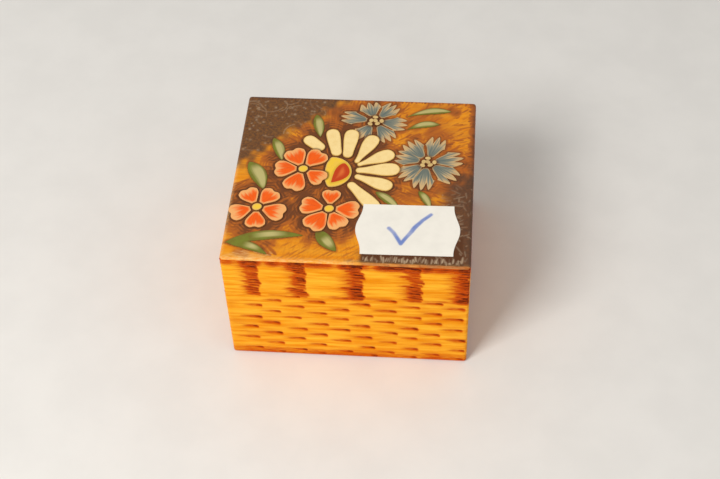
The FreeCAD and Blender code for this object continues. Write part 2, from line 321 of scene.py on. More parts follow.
def add_piece(name, bm, materials, body, stands_for=(), sharp=35):
    """Turns a mesh in millimetres into a piece of the object."""
    bmesh.ops.scale(bm, vec=(MM, MM, MM), verts=bm.verts)
    for face in bm.faces:
        face.smooth = True
    for edge in bm.edges:
        edge.smooth = len(edge.link_faces) == 2 and edge.calc_face_angle(0) < math.radians(sharp)
    mesh = bpy.data.meshes.new(name)
    bm.to_mesh(mesh)
    bm.free()
    for material in materials:
        mesh.materials.append(material)
    piece = bpy.data.objects.new(name, mesh)
    bpy.context.scene.collection.objects.link(piece)
    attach(piece, body)
    if stands_for:
        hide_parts(*stands_for)


def dress_node(node, material):
    """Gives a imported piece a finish."""
    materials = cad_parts[node].data.materials
    materials.clear()
    materials.append(material)


# Boards
CORNER_SEGMENTS = 4
SEAM_SEGMENTS = 2
JOINT_SEGMENTS = 1
SHORTEST_CUT = 1.5


def rounded_distance(places, radius):
    """Distance outside the rounded footprint of the box, negative inside."""
    x = np.abs(places[:, 0]) - (HALF_WIDTH - radius)
    y = np.abs(places[:, 1]) - (HALF_DEPTH - radius)
    outside = np.hypot(np.maximum(x, 0), np.maximum(y, 0))
    return outside + np.minimum(np.maximum(x, y), 0) - radius


def on_skin(places, radius):
    """True for points on the outside of the box, its rounded edges included."""
    return rounded_distance(places, radius) > -radius - TINY


def grow_board(strips, low, high, foot=None):
    """A board grown up from the strips of its plan; the first strip also reaches down to the foot."""
    bm = bmesh.new()
    corners = {}
    for strip in strips:
        for x, y in strip:
            if (x, y) not in corners:
                corners[x, y] = bm.verts.new((x, y, low))
    faces = [bm.faces.new([corners[c] for c in strip]) for strip in strips]
    extrude(bm, faces, high - low)
    if foot is not None:
        extrude(bm, faces[:1], foot - low)
        bmesh.ops.delete(bm, geom=faces[:1], context="FACES_ONLY")
    bmesh.ops.recalc_face_normals(bm, faces=bm.faces)
    return bm


def extrude(bm, faces, rise):
    """Extrudes faces straight up or down."""
    grown = bmesh.ops.extrude_face_region(bm, geom=faces)
    verts = [g for g in grown["geom"] if isinstance(g, bmesh.types.BMVert)]
    bmesh.ops.translate(bm, vec=(0, 0, rise), verts=verts)


def round_edges(bm, chosen, radius, segments):
    """Rounds the edges whose ends and middle all pass a test on places."""
    ends = np.array([[v.co for v in edge.verts] for edge in bm.edges], float)
    passes = chosen(ends[:, 0]) & chosen(ends[:, 1]) & chosen(ends.mean(1))
    edges = [edge for edge, rounded in zip(bm.edges, passes) if rounded]
    bmesh.ops.bevel(
        bm, geom=edges, offset=radius, segments=segments, profile=0.5, affect="EDGES", material=-1
    )


def on_corner(places):
    """True for points on the upright corners of the box, before they are rounded."""
    x, y = np.abs(places[:, 0]), np.abs(places[:, 1])
    return (x > HALF_WIDTH - TINY) & (y > HALF_DEPTH - TINY)


def on_outside(places):
    """True for points on the four flat sides of the box, before its corners are rounded."""
    x, y = np.abs(places[:, 0]), np.abs(places[:, 1])
    return (x > HALF_WIDTH - TINY) | (y > HALF_DEPTH - TINY)


def at_height(places, z):
    """True for points at one height."""
    return np.abs(places[:, 2] - z) < TINY


def break_edges(bm, z, radius, size, segments):
    """Breaks the outside edges at one height, once the corners are rounded."""
    round_edges(bm, lambda p: (np.abs(rounded_distance(p, radius)) < TINY) & at_height(p, z), size, segments)


def same_cuts(edges, step):
    """Edges in groups of nearly the same length, with one number of cuts for each group."""
    groups = []
    for edge in sorted(edges, key=lambda e: e.calc_length()):
        if groups and edge.calc_length() - groups[-1][-1].calc_length() < NEARLY_SAME:
            groups[-1].append(edge)
        else:
            groups.append([edge])
    return [(round(group[-1].calc_length() / step) - 1, group) for group in groups]


def refine_skin(bm, radius, steps):
    """Cuts the outer faces of a board into small faces, with a step for each axis."""
    for axis, step in enumerate(steps):
        bm.verts.index_update()
        places = points_of(bm)
        skin = on_skin(places, radius) | at_height(places, LID_TOP)
        edges = []
        for edge in bm.edges:
            a, b = edge.verts[0], edge.verts[1]
            run = b.co - a.co
            along = abs(run[axis]) > run.length - TINY
            if along and run.length > SHORTEST_CUT * step and skin[a.index] and skin[b.index]:
                edges.append(edge)
        for cuts, group in same_cuts(edges, step):
            bmesh.ops.subdivide_edges(bm, edges=group, cuts=cuts, use_grid_fill=True)


def inward_of(places, radius):
    """Level direction from each point into the box, square to its rounded outside."""
    x = np.maximum(np.abs(places[:, 0]) - (HALF_WIDTH - radius), 0)
    y = np.maximum(np.abs(places[:, 1]) - (HALF_DEPTH - radius), 0)
    away = np.stack([np.sign(places[:, 0]) * x, np.sign(places[:, 1]) * y], -1)
    return -away / np.maximum(np.hypot(x, y), TINY)[:, None]


def side_places(places):
    """For each point: the number of the side it is on, and s along that side."""
    x, y = places[:, 0], places[:, 1]
    facing = np.abs(x) - HALF_WIDTH > np.abs(y) - HALF_DEPTH
    side = np.where(facing, np.where(x > 0, 2, 4), np.where(y < 0, 1, 3))
    return side, np.select([side == 1, side == 2, side == 3], [x, y, -x], -y)


# The pattern burnt into the sides
EDGE_FADE = 0.5
FIRST_DASH = 0.7
LOWEST_DASH = 1.1
HEAD_JITTER = 0.45
LEVEL_JITTER = 0.2
ROW_DRIFT = 0.022
HOOK_DROP, HOOK_RATE = 0.8, 9
HEAD_FADE = 0.46
TAIL_FORCE, HALO_FORCE = 0.54, 0.25
BAR_SWAY, BAR_SWAY_STEP = 0.5, 2.1
# Each bar: its right edge as a share of half the side, its strength, and how much its foot is burnt
BARS = (
    (-0.705, 0.98, -0.3),
    (-0.325, 1.05, -0.1),
    (0.138, 1.05, 0.8),
    (0.612, 0.9, 0.7),
    (1.012, 1.08, 0.8),
)


def burn_stroke(mark, s, z, head, level, reach, tall, force, full=0.1):
    """One stroke of the burner: a dark hooked head at its right end, and a tail that fades to the left."""
    near = np.flatnonzero((np.abs(z - level) < 5 * tall) & (s < head + 1) & (s > head - 1.25 * reach))
    t = (head - s[near]) / reach
    middle = level - HOOK_DROP * tall * np.exp(-np.maximum(t, 0) * HOOK_RATE) + 0.1 * tall
    height = (z[near] - middle) / (tall * (1.08 - 0.4 * np.clip(t, 0, 1)))
    start = smooth(-0.04, 0.07, t)
    dark = start * smooth(full + HEAD_FADE, full, t) * bell(height - 0.1, 1, 2.4)
    tail = TAIL_FORCE * start * smooth(1.15, 0.4, t) * bell(height, 1.55)
    halo = HALO_FORCE * smooth(-0.15, 0.1, t) * smooth(1.25, 0.6, t) * bell(height, 2.9)
    raise_to(mark, near, force * highest(dark, tail, halo))


def burn_dashes(s, z, half, seed, burn):
    """Staggered dashes below the seam."""
    rng = np.random.default_rng(seed)
    pitch, rise, reach = burn.dash_pitch / MM, burn.row_pitch / MM, burn.dash_length / MM
    mark = np.zeros_like(s)
    for column in range(int(2 * half / pitch)):
        for row in range(int(SEAM / rise) + 1):
            head = half - FIRST_DASH - pitch * column + rng.normal(0, HEAD_JITTER)
            drift = 1 - ROW_DRIFT * (1 + head / half)
            level = drift * rise * (row + 0.1 + 0.5 * (column % 2)) + rng.normal(0, LEVEL_JITTER)
            tail = reach * rng.uniform(0.85, 1.2)
            tall = burn.dash_height / MM * rng.uniform(0.85, 1.15)
            burn_stroke(mark, s, z, head, max(level, LOWEST_DASH), tail, tall, rng.uniform(0.6, 0.84))
    return mark


def bar_ends(z, foot):
    """How much a bar darkens towards its top, and darkens or fades towards its foot."""
    share = 2 * (z - SEAM) / (LID_TOP - SEAM) - 1
    return np.where(share > 0, 1.25, foot) * share**2


def burn_bars(s, z, half, seed, burn):
    """Upright scorched bars on the lid, each a stack of strokes over a feathered shade."""
    rng = np.random.default_rng(seed)
    mark = np.zeros_like(s)
    width, tall = burn.bar_width / MM, burn.dash_height / MM
    for number, (edge_share, strength, foot) in enumerate(BARS):
        key = seed * 100 + number
        edge = edge_share * half + rng.normal(0, 0.2)
        border = edge + BAR_SWAY * wander(key, z, BAR_SWAY_STEP) + 0.25 * wander(key + 11, z, 0.5)
        t = border - s
        feather = 1.3 + 3.4 * (0.5 + 0.5 * wander(key + 23, z, 0.4)) ** 2
        shade = smooth(-0.7, 0.7, t) * bell(np.maximum(t - 0.7 * width, 0), feather, 1.2)
        force = 0.36 + 0.1 * wander(key + 41, z, 2.2) + 0.34 * bar_ends(z, foot)
        mark = np.maximum(mark, strength * shade * force)
        level = SEAM - 0.2
        while level < LID_TOP - 0.4:
            head = edge + BAR_SWAY * wander(key, level, BAR_SWAY_STEP) + rng.normal(0.15, 0.3)
            reach = width * rng.uniform(1.0, 1.6)
            hard = strength * (0.7 + 0.42 * bar_ends(level, foot) + rng.uniform(-0.3, 0.16))
            burn_stroke(mark, s, z, head, level, reach, tall * rng.uniform(0.8, 1.25), min(hard, 1), 0.46)
            inner = head - width * rng.uniform(0.25, 0.6)
            burn_stroke(mark, s, z, inner, level + 0.4, reach, tall, min(hard * rng.uniform(0.5, 1), 1), 0.36)
            level += rng.uniform(0.62, 1.15)
    return mark


def burn_borders(s, z, seed):
    """Scorching along the top of the lid and at the seam, and darkening towards the foot, over a faint uneven
    toast.
    """
    top = smooth(LID_TOP - 3.4, LID_TOP - 1.0, z) * (0.53 + 0.3 * wander(seed + 5, s, 2.2))
    foot = smooth(5.5, 0.0, z) * (0.37 + 0.12 * wander(seed + 9, s, 3.1))
    seam = bell(z - SEAM, 0.7) * (0.17 + 0.15 * wander(seed + 13, s, 2.6))
    cloud = 0.08 + 0.07 * wander(seed + 17, s + 0.8 * z, 4.5) + 0.05 * wander(seed + 19, z - 0.3 * s, 2.7)
    cloud *= smooth(SEAM + 8, SEAM - 3, z) * 0.7 + 0.3
    return highest(top, foot, seam, cloud)


def burn_sides(bm, burn, radius):
    """Burns the pattern into the outer faces of a board and returns how dark each point is."""
    places = points_of(bm)
    skin = on_skin(places, radius)
    flat = rounded_distance(places, radius) > -TINY
    side, s = side_places(places)
    z = places[:, 2]
    dark = np.zeros(len(places))
    deep = np.zeros(len(places))
    low, high = z[flat].min(), z[flat].max()
    for number, half_side in SIDES.values():
        chosen = np.flatnonzero(skin & (side == number))
        if not len(chosen):
            continue
        seed = burn.seed * 10 + number
        s_here, z_here = s[chosen], z[chosen]
        dashes = burn_dashes(s_here, z_here, half_side, seed, burn) * smooth(SEAM + 0.1, SEAM - 0.4, z_here)
        bars = burn_bars(s_here, z_here, half_side, seed, burn) * smooth(SEAM - 1.8, SEAM + 0.2, z_here)
        dark[chosen] = highest(dashes, bars, burn_borders(s_here, z_here, seed))
        rough = 0.75 + 0.25 * wander(seed + 71, s_here * 2.3 + z_here * 7.1, 0.6)
        deep[chosen] = burn.dash_depth / MM * dashes + burn.bar_depth / MM * bars * rough
    deep *= smooth(low, low + EDGE_FADE, z) * smooth(high, high - EDGE_FADE, z) * flat
    places[:, :2] += inward_of(places, radius) * deep[:, None]
    move_points(bm, places)
    return dark


def mark_inside(bm, radius):
    """Gives the second material to every face that is not on the outside of the box."""
    bm.verts.index_update()
    skin = on_skin(points_of(bm), radius)
    for face in bm.faces:
        face.material_index = 0 if all(skin[v.index] for v in face.verts) else 1


def lapped_strips(side):
    """Plan of a front or back board: the full-width lip, and the tongue between the side boards."""
    outer, lip, inner = (side * (HALF_DEPTH - d) for d in (0, LIP, WALL))
    shoulder = HALF_WIDTH - WALL
    lip_strip = [
        (-HALF_WIDTH, outer),
        (HALF_WIDTH, outer),
        (HALF_WIDTH, lip),
        (shoulder, lip),
        (-shoulder, lip),
        (-HALF_WIDTH, lip),
    ]
    return [lip_strip, [(-shoulder, lip), (shoulder, lip), (shoulder, inner), (-shoulder, inner)]]


def side_strips(side):
    """Plan of a left or right board: the rim outside the bottom panel, and the rest of its thickness."""
    outer, rim, inner = (side * (HALF_WIDTH - d) for d in (0, RIM, WALL))
    end = HALF_DEPTH - LIP
    rim_strip = [(outer, -end), (outer, end), (rim, end), (rim, -end)]
    return [rim_strip, [(rim, -end), (rim, end), (inner, end), (inner, -end)]]


BOARDS = {
    "front": lapped_strips(-1),
    "back": lapped_strips(1),
    "left": side_strips(-1),
    "right": side_strips(1),
}


def make_board(word, lid, scene):
    """One wall of the box or one rail of the lid."""
    board, burn = scene.trinket_board, scene.trinket_burn
    radius = board.edge_round / MM
    if lid:
        bm = grow_board(BOARDS[word], SEAM, PANEL_BASE)
        round_edges(bm, on_corner, radius, CORNER_SEGMENTS)
    else:
        bm = grow_board(BOARDS[word], BOTTOM_PANEL[1].z, SEAM, foot=0)
        round_edges(bm, lambda p: on_corner(p) | (on_outside(p) & at_height(p, 0)), radius, CORNER_SEGMENTS)
    break_edges(bm, SEAM, radius, board.seam_round / MM, SEAM_SEGMENTS)
    mark_inside(bm, radius)
    refine_skin(bm, radius, (board.side_step / MM, board.side_step / MM, board.rise_step / MM))
    keep_values(bm, burn=burn_sides(bm, burn, radius))
    grain = "across" if word in ("front", "back") else "deep"
    node = f"lid_{word}_rail" if lid else f"{word}_wall"
    materials = [honey_wood(scene, grain), bare_wood(scene, grain)]
    add_piece(f"{node}_board", bm, materials, "lid" if lid else "base", [node])


# Painted patches of the lid
PATCH_SINK = 0.006
PATCH_DOME = 0.008
PATCH_STEP = 0.015
PATCH_BODY = 0.22
PATCH_BED = 0.1
PATCH_REACH = 8.0
LINE_DEPTH = 0.17
LINE_CORE = 0.1
LINE_REACH = 0.85
LINE_MARGIN = 1.0
Patch = namedtuple("Patch", "spread columns rows level tone", defaults=(0,))


def placed(centre, turn, along, across):
    """Turns distances along and across a patch into places on the lid."""
    c, s = math.cos(turn), math.sin(turn)
    return centre[0] + along * c - across * s, centre[1] + along * s + across * c


def heading(start, end):
    """Direction and length from one place to another."""
    run = np.subtract(end, start)
    return math.atan2(run[1], run[0]), math.hypot(*run)


def heart_petal(centre, turn, start, reach, half_width, level, tone):
    """A petal with a notch at its outer end."""

    def spread(u, v):
        width = half_width * (0.26 + 0.74 * np.sin(np.pi / 2 * np.minimum(v / 0.74, 1)) ** 1.1)
        cut = 0.085 * bell(u, 0.3) + 0.22 * np.abs(u) ** 3
        along = start + (reach - start) * v * (1 - cut * v**2)
        return placed(centre, turn, along, u * width)

    return Patch(spread, columns=16, rows=16, level=level, tone=tone)


def club_petal(base, tip, half_width, base_share, level):
    """A long petal, narrow at its base and round at its end."""
    turn, reach = heading(base, tip)

    def spread(u, v):
        width = half_width * (base_share + (1 - base_share) * smooth(0, 0.8, v))
        drop = 1 - np.sqrt(np.maximum(1 - u**2, 0))
        along = reach * v - drop * half_width * v**3
        along = along + drop * base_share * half_width * (1 - v) ** 3
        return placed(base, turn, along, u * width)

    return Patch(spread, columns=14, rows=22, level=level)


def toothed_petal(centre, turn, start, reach, half_width, teeth, level):
    """A wedge that ends in a row of teeth, the middle ones longest."""

    def spread(u, v):
        width = half_width * (0.22 + 0.84 * v**0.65)
        saw = np.abs(2 * ((teeth * (u + 1) / 2) % 1) - 1) ** 1.6
        cut = 0.36 * saw + 0.14 * u**2
        along = start + (reach - start) * v * (1 - cut * v)
        return placed(centre, turn, along, u * width)

    return Patch(spread, columns=6 * teeth, rows=14, level=level)


def leaf_blade(start, end, half_width, bend, tone, lag, level):
    """A leaf pointed at both ends and bent sideways; the more lag, the nearer its end it is widest."""
    turn, reach = heading(start, end)

    def spread(u, v):
        width = half_width * (np.sin(np.pi * v**lag) ** 0.8 + 0.02)
        return placed(start, turn, reach * v, u * width + bend * 4 * v * (1 - v))

    return Patch(spread, columns=12, rows=30, level=level, tone=tone)


def bent_drop(start, end, half_width, bend, level):
    """A drop with a thin tail at its start and a blunt end, bent sideways."""
    turn, reach = heading(start, end)

    def spread(u, v):
        width = half_width * (np.sin(np.pi * np.clip(v, 0.001, 0.999) ** 1.3) ** 0.62)
        return placed(start, turn, reach * v, u * width + bend * 4 * v * (1 - v))

    return Patch(spread, columns=14, rows=24, level=level)


def disc(centre, across, deep, turn, level, fineness=10, left_share=1.0):
    """A round or oval spot, whose left half can be narrower."""

    def spread(u, v):
        w = 2 * v - 1
        x = across * u * np.sqrt(1 - w**2 / 2) * np.where(u < 0, left_share, 1)
        y = deep * w * np.sqrt(1 - u**2 / 2)
        return placed(centre, turn, x, y)

    return Patch(spread, columns=fineness, rows=fineness, level=level)


def patch_outline(patch):
    """The closed outline of a patch."""
    side = np.linspace(-1, 1, 4 * patch.columns + 1)
    rise = np.linspace(0, 1, 2 * patch.rows + 1)
    ones, zeros = np.ones_like(rise), np.zeros_like(side)
    u = np.concatenate([side[:-1], ones[:-1], side[:0:-1], -ones[:0:-1]])
    v = np.concatenate([zeros[:-1], rise[:-1], zeros[:0:-1] + 1, rise[:0:-1]])
    return np.stack(patch.spread(u, v), -1)


LEAF_LEVEL, CORNFLOWER_LEVEL, DAISY_LEVEL, EYE_LEVEL, COMMA_LEVEL, RED_LEVEL, SPOT_LEVEL = range(7)
# How dark the outlines are, for each level of patches
LINE_SHARES = (0.16, 0.3, 0.85, 0.85, 0.22, 0.85, 0.7)
RED_START = 1.7
RED_WIDTH = 0.365
BLUE_START = 2.1
BLUE_TEETH = 3
STAMENS = 6
STAMEN_TURN = 2.4
# Each red flower: its centre, and the turn, reach and tone of its petals
RED_FLOWERS = {
    "left_red_flower": (
        (-23.3, -11.5),
        ((121, 6.9, 0.65), (55, 7.0, 0.45), (-16, 7.6, 1.0), (-88, 6.9, 0.15), (203, 7.2, 1.0)),
    ),
    "back_red_flower": (
        (-13.1, 2.2),
        ((118, 7.7, 0.45), (54, 7.7, 0.2), (-35, 7.0, 0.75), (-108, 7.9, 0.45), (182, 7.5, 0.5)),
    ),
    "middle_red_flower": (
        (-5.2, -11.2),
        ((88, 6.4, 0.35), (-1, 7.7, 0.6), (-61, 7.2, 0.95), (-123, 8.2, 0.2), (171, 7.5, 0.3)),
    ),
}
DAISY_CENTRE = (-5.8, 1.5)
DAISY_RADIUS = 5.2
# Each daisy petal: its base, its tip, half its width, and the share of that at its base
DAISY_PETALS = (
    ((-8.6, 9.3), (-13.7, 13.7), 1.7, 0.9),
    ((-4.8, 7.3), (-7.0, 16.9), 1.8, 0.78),
    ((-2.2, 6.8), (-1.5, 17.0), 1.9, 0.7),
    ((0.2, 5.0), (4.6, 15.0), 1.95, 0.35),
    ((0.7, 4.2), (9.8, 9.0), 2.05, 0.3),
    ((0.4, 2.3), (11.6, 3.3), 2.15, 0.42),
    ((0.3, 0.4), (10.0, -3.2), 1.95, 0.42),
    ((-1.0, -2.1), (6.8, -11.0), 1.9, 0.6),
)
# Each cornflower: its centre, and the turn, reach and half width of its petals
CORNFLOWERS = {
    "back_cornflower": (
        (4.0, 20.5),
        ((107, 7.3, 2.8), (50, 8.4, 2.3), (-8, 8.8, 2.4), (-57, 8.7, 2.4), (-120, 8.0, 2.6), (170, 9.2, 2.3)),
    ),
    "right_cornflower": (
        (18.5, 6.0),
        (
            (73, 9.7, 2.5),
            (12, 9.4, 2.6),
            (-38, 9.7, 2.8),
            (-97, 9.9, 2.7),
            (-141, 9.2, 2.5),
            (166, 8.7, 2.5),
            (126, 9.2, 2.6),
        ),
    ),
}
# Each leaf: its start and end, half its width, its bend, tone and lag
LEAVES = (
    ((-11.5, 22.2), (-9.8, 14.0), 1.4, 0.1, 0.5, 0.85),
    ((-21.9, 12.9), (-18.9, 4.9), 1.45, 0.4, 0.5, 0.85),
    ((-27.2, 4.0), (-22.4, -5.4), 2.1, 0.6, 0.5, 0.85),
    ((-29.7, -23.6), (-10.8, -20.4), 1.5, 1.25, 0.27, 0.9),
    ((-29.0, -23.6), (-19.0, -26.9), 1.25, 1.0, 0.26, 0.85),
    ((-7.6, -18.4), (-2.3, -25.0), 1.75, -0.2, 0.31, 0.85),
    ((12.4, 22.4), (24.0, 25.0), 1.15, 1.1, 0.5, 1.5),
    ((12.6, 17.6), (21.2, 20.0), 1.15, 0.95, 0.42, 1.4),
    ((6.0, -4.9), (12.2, -10.6), 1.2, 0.4, 0.55, 0.85),
    ((16.8, -4.1), (19.9, -10.0), 1.05, 0.4, 0.5, 0.85),
)
COMMA = ((-5.5, -2.3), (-2.6, 4.6), 1.95, -0.85)


def leaf_patches():
    """All the leaves."""
    return [leaf_blade(*leaf, LEAF_LEVEL) for leaf in LEAVES]


def red_flower_patches(centre, petals):
    """Five petals and the eye of a red flower."""
    hearts = [
        heart_petal(centre, math.radians(turn), RED_START, reach, RED_WIDTH * reach, RED_LEVEL, tone)
        for turn, reach, tone in petals
    ]
    return hearts, [disc(centre, 1.2, 1.08, 0.3, SPOT_LEVEL)]


def daisy_patches():
    """Petals, eye and comma of the daisy."""
    petals = [club_petal(*petal, DAISY_LEVEL) for petal in DAISY_PETALS]
    eye = disc(DAISY_CENTRE, DAISY_RADIUS, DAISY_RADIUS, 0, EYE_LEVEL, 44, 0.32)
    comma = bent_drop(*COMMA, COMMA_LEVEL)
    return petals, [eye], [comma]


def cornflower_patches(centre, blades):
    """Toothed petals and the stamens of a cornflower."""
    petals = [
        toothed_petal(centre, math.radians(turn), BLUE_START, reach, half_width, BLUE_TEETH, CORNFLOWER_LEVEL)
        for turn, reach, half_width in blades
    ]
    stamens = []
    for number in range(STAMENS):
        lean = STAMEN_TURN * number + 0.6
        place = placed(centre, lean, 0.72 * math.sqrt(number) + 0.2, 0)
        stamens.append(disc(place, 0.66, 0.82, lean, SPOT_LEVEL))
    return petals, stamens


def all_patches():
    """Every painted patch of the lid."""
    groups = [leaf_patches()]
    for flower in CORNFLOWERS.values():
        groups += cornflower_patches(*flower)
    groups += daisy_patches()
    for flower in RED_FLOWERS.values():
        groups += red_flower_patches(*flower)
    return sum(groups, [])


def line_darkness(gap, level):
    """Darkness of a burnt outline at a distance outside a patch of some level."""
    return LINE_SHARES[level] * smooth(LINE_REACH, LINE_CORE, gap) * smooth(-0.24, 0.04, gap)


def ink_over(x, y, level, outlines):
    """Darkness of the burnt outlines of all the patches above a level."""
    ink = np.zeros_like(x)
    for patch, outline in outlines:
        if patch.level > level:
            near = near_box(x, y, outline, LINE_MARGIN)
            if len(near):
                gap = signed_distance(x[near], y[near], outline)
                raise_to(ink, near, line_darkness(gap, patch.level))
    return ink


def grow_patches(name, groups, materials):
    """Makes patches as low domes set into the lid panel: one piece, with a material for each group."""
    bm = bmesh.new()
    uv = bm.loops.layers.uv.new("patch")
    rims, inks, tones = [], [], []
    outlines = [(patch, patch_outline(patch)) for patch in all_patches()]
    painted = [(paint, patch) for paint, group in enumerate(groups) for patch in group]
    for number, (paint, patch) in enumerate(painted):
        made = bmesh.ops.create_grid(bm, x_segments=patch.columns, y_segments=patch.rows, size=1)["verts"]
        u = np.array([vert.co.x for vert in made])
        v = (np.array([vert.co.y for vert in made]) + 1) / 2
        for vert, across, along in zip(made, (u + 1) / 2, v):
            for loop in vert.link_loops:
                loop[uv].uv = (number + across, along)
        x, y = patch.spread(u, v)
        border = np.maximum(np.abs(u), np.abs(2 * v - 1))
        z = LID_TOP - PATCH_SINK + (PATCH_DOME + PATCH_SINK) * (1 - border**4) + PATCH_STEP * patch.level
        for vert, place in zip(made, zip(x, y, z)):
            vert.co = place
        rims.append(np.maximum(-signed_distance(x, y, patch_outline(patch)), 0))
        inks.append(ink_over(x, y, patch.level, outlines))
        tones.append(np.full_like(x, patch.tone))
        for face in {f for vert in made for f in vert.link_faces}:
            face.material_index = paint
    bm.normal_update()
    bmesh.ops.reverse_faces(bm, faces=[f for f in bm.faces if f.normal.z < 0])
    keep_values(bm, rim=np.concatenate(rims), ink=np.concatenate(inks), tone=np.concatenate(tones))
    bmesh.ops.solidify(bm, geom=bm.faces[:], thickness=PATCH_BODY)
    add_piece(name, bm, materials, "lid", sharp=60)


# The ground of the lid panel
GROUND_SEED = 31
WEAR_HIGHLIGHT_SEED = 47
HATCH_STROKES = 2200
CURLS = 30
DOTS = 120
# Pitch of the pale nicks on the strip in front of the label, painted glints
GLINT_PITCH = 0.36
SCRATCHES = 90
# Painted glare and wear streaks near the front left corner of the lid
WEAR_HIGHLIGHT_STREAKS = 30
CURL_BOX = ((-30, 4), (-2, 28.5))
DOT_BOX = ((-30, 4), (-3, 28))
SCRATCH_BOX = ((22, -27), (30, 1))
# Where the painted glare and wear streaks lie
WEAR_HIGHLIGHT_BOX = ((-27.5, -28.2), (-18.0, -25.8))
CLEAN_EDGE = (-28.0, -28.4)
FRONT_STROKES = (-17, 3.5, 0.9)
FRONT_ROWS, FRONT_LOW, FRONT_ROW_STEP = 3, -28.2, 1.7
RIGHT_TICKS, BACK_TICKS = 0.8, 0.9
CORNER_LINE = ((-4.0, 29.0), (-30.0, 3.2))
LABEL_CORNER_LINE = ((20.0, -9.0), (30.5, 3.0))
STRIP_LEFT, STRIP_RIGHT, STRIP_FRONT = 3.8, 28.8, -28.3
BLUE_SHIFT = 1.9
# Each spot that is barely burnt: x, y and size
GLOW_SPOTS = (
    (-16.5, 14.6, 2.4),
    (26.5, 23.0, 3.2),
    (27.3, 13.0, 2.6),
    (21.8, -7.0, 2.4),
    (13.2, 27.0, 2.2),
    (-28.2, -0.5, 2.2),
    (-29.6, -3.2, 2.4),
)
# Each spot that is burnt more: x, y, size and force
DARK_SPOTS = (
    (-18.4, -24.4, 2.6, 0.34),
    (-9.5, -21.6, 1.8, 0.4),
    (-15.5, -10.5, 2.4, 0.75),
    (-6.0, 22.3, 3.6, 0.55),
    (17.0, 21.2, 6.4, 0.36),
    (20.0, 17.2, 4.0, 0.42),
    (24.6, 24.8, 2.2, 0.62),
    (19.0, 28.0, 3.0, 0.34),
    (11.0, 0.0, 3.5, 0.28),
    (-25.0, -26.3, 2.6, 0.34),
)
LEAF_STROKES = (
    ((-24.0, -22.8), (-20.4, -24.2)),
    ((-21.2, -23.8), (-17.8, -27.4)),
    ((-22.2, -22.5), (-18.8, -24.0)),
    ((-19.6, -23.6), (-16.6, -27.0)),
    ((-20.0, -22.6), (-17.2, -24.2)),
)


def beyond_line(x, y, line):
    """Distance to the right of a line, seen along it."""
    (ax, ay), (bx, by) = line
    run = math.hypot(bx - ax, by - ay)
    return ((x - ax) * (by - ay) - (y - ay) * (bx - ax)) / run


def draw_line(field, x, y, start, end, half_width, strength):
    """Raises a field along a line that tapers at both ends."""
    box = np.array([start, end])
    near = near_box(x, y, box, half_width * 2)
    gap, t = segment_distance(x[near], y[near], start, end)
    taper = np.sqrt(np.clip(4 * t * (1 - t), 0, 1)) + 0.12
    raise_to(field, near, strength * bell(gap, half_width * taper))


def draw_arc(field, x, y, centre, radius, start, sweep, half_width, strength):
    """Raises a field along an arc."""
    box = np.array([np.subtract(centre, radius), np.add(centre, radius)])
    near = near_box(x, y, box, half_width * 2)
    dx, dy = x[near] - centre[0], y[near] - centre[1]
    bearing = (np.arctan2(dy, dx) - start) % (2 * math.pi)
    gap = np.abs(np.hypot(dx, dy) - radius)
    raise_to(field, near, strength * bell(gap, half_width) * (bearing < sweep))


def hatch(x, y, gap, rng):
    """Short burnt strokes that spread from the bouquet, thickest near the flowers."""
    field = np.zeros_like(x)
    middle = np.array(DAISY_CENTRE)
    for _ in range(HATCH_STROKES):
        place = rng.uniform((-HALF_WIDTH, -HALF_DEPTH), (HALF_WIDTH, HALF_DEPTH))
        turn = heading(middle, place)[0] + rng.normal(0, 0.22)
        step = np.array([math.cos(turn), math.sin(turn)]) * rng.uniform(1.4, 3.6)
        draw_line(field, x, y, place, place + step, rng.uniform(0.2, 0.46), rng.uniform(0.2, 0.74))
    far = 0.3 + 0.3 * smooth(0, 12, x)
    return field * (far + (1 - far) * smooth(6.0, 1.0, gap))


def hatch_front(x, y, rng):
    """Slanting strokes along the bare front edge."""
    field = np.zeros_like(x)
    for row in range(FRONT_ROWS):
        level = FRONT_LOW + FRONT_ROW_STEP * row
        for place in np.arange(*FRONT_STROKES):
            start = np.array([place + rng.normal(0, 0.2), level + rng.normal(0, 0.3)])
            step = np.array([1.0, 0.85]) * rng.uniform(1.6, 2.8)
            draw_line(field, x, y, start, start + step, 0.24, rng.uniform(0.12, 0.3))
    return field


def scratch_corner(x, y, dark, rng):
    """Curls and dots scratched into the dark back corner."""
    field = np.zeros_like(x)
    for _ in range(CURLS):
        centre = rng.uniform(*CURL_BOX)
        radius = rng.uniform(1.2, 4.4)
        start, sweep = rng.uniform(0, 2 * math.pi), rng.uniform(1.0, 2.6)
        draw_arc(field, x, y, centre, radius, start, sweep, rng.uniform(0.1, 0.16), rng.uniform(0.3, 0.8))
    for _ in range(DOTS):
        centre = rng.uniform(*DOT_BOX)
        draw_arc(field, x, y, centre, 0.05, 0, 7, rng.uniform(0.16, 0.34), rng.uniform(0.3, 1.0))
    return field * smooth(0.55, 0.95, dark)


def strip_glints_and_scratches(x, y, dark, rng):
    """Upright pale nicks on the dark strip in front of the label, a painted highlight for its glints, and
    scratches beside it.
    """
    field = np.zeros_like(x)
    for place in np.arange(STRIP_LEFT + 0.6, STRIP_RIGHT - 0.4, GLINT_PITCH):
        start = np.array([place + rng.normal(0, 0.15), STRIP_FRONT + rng.uniform(0.1, 0.9)])
        end = start + rng.normal((0.1, 1.3), (0.25, 0.4))
        draw_line(field, x, y, start, end, rng.uniform(0.1, 0.22), rng.uniform(0.1, 1))
    for _ in range(SCRATCHES):
        place = rng.uniform(*SCRATCH_BOX)
        draw_line(field, x, y, place, place + rng.normal(0, 1.2, 2), 0.15, rng.uniform(0.15, 0.42))
    return field * smooth(0.5, 0.9, dark)


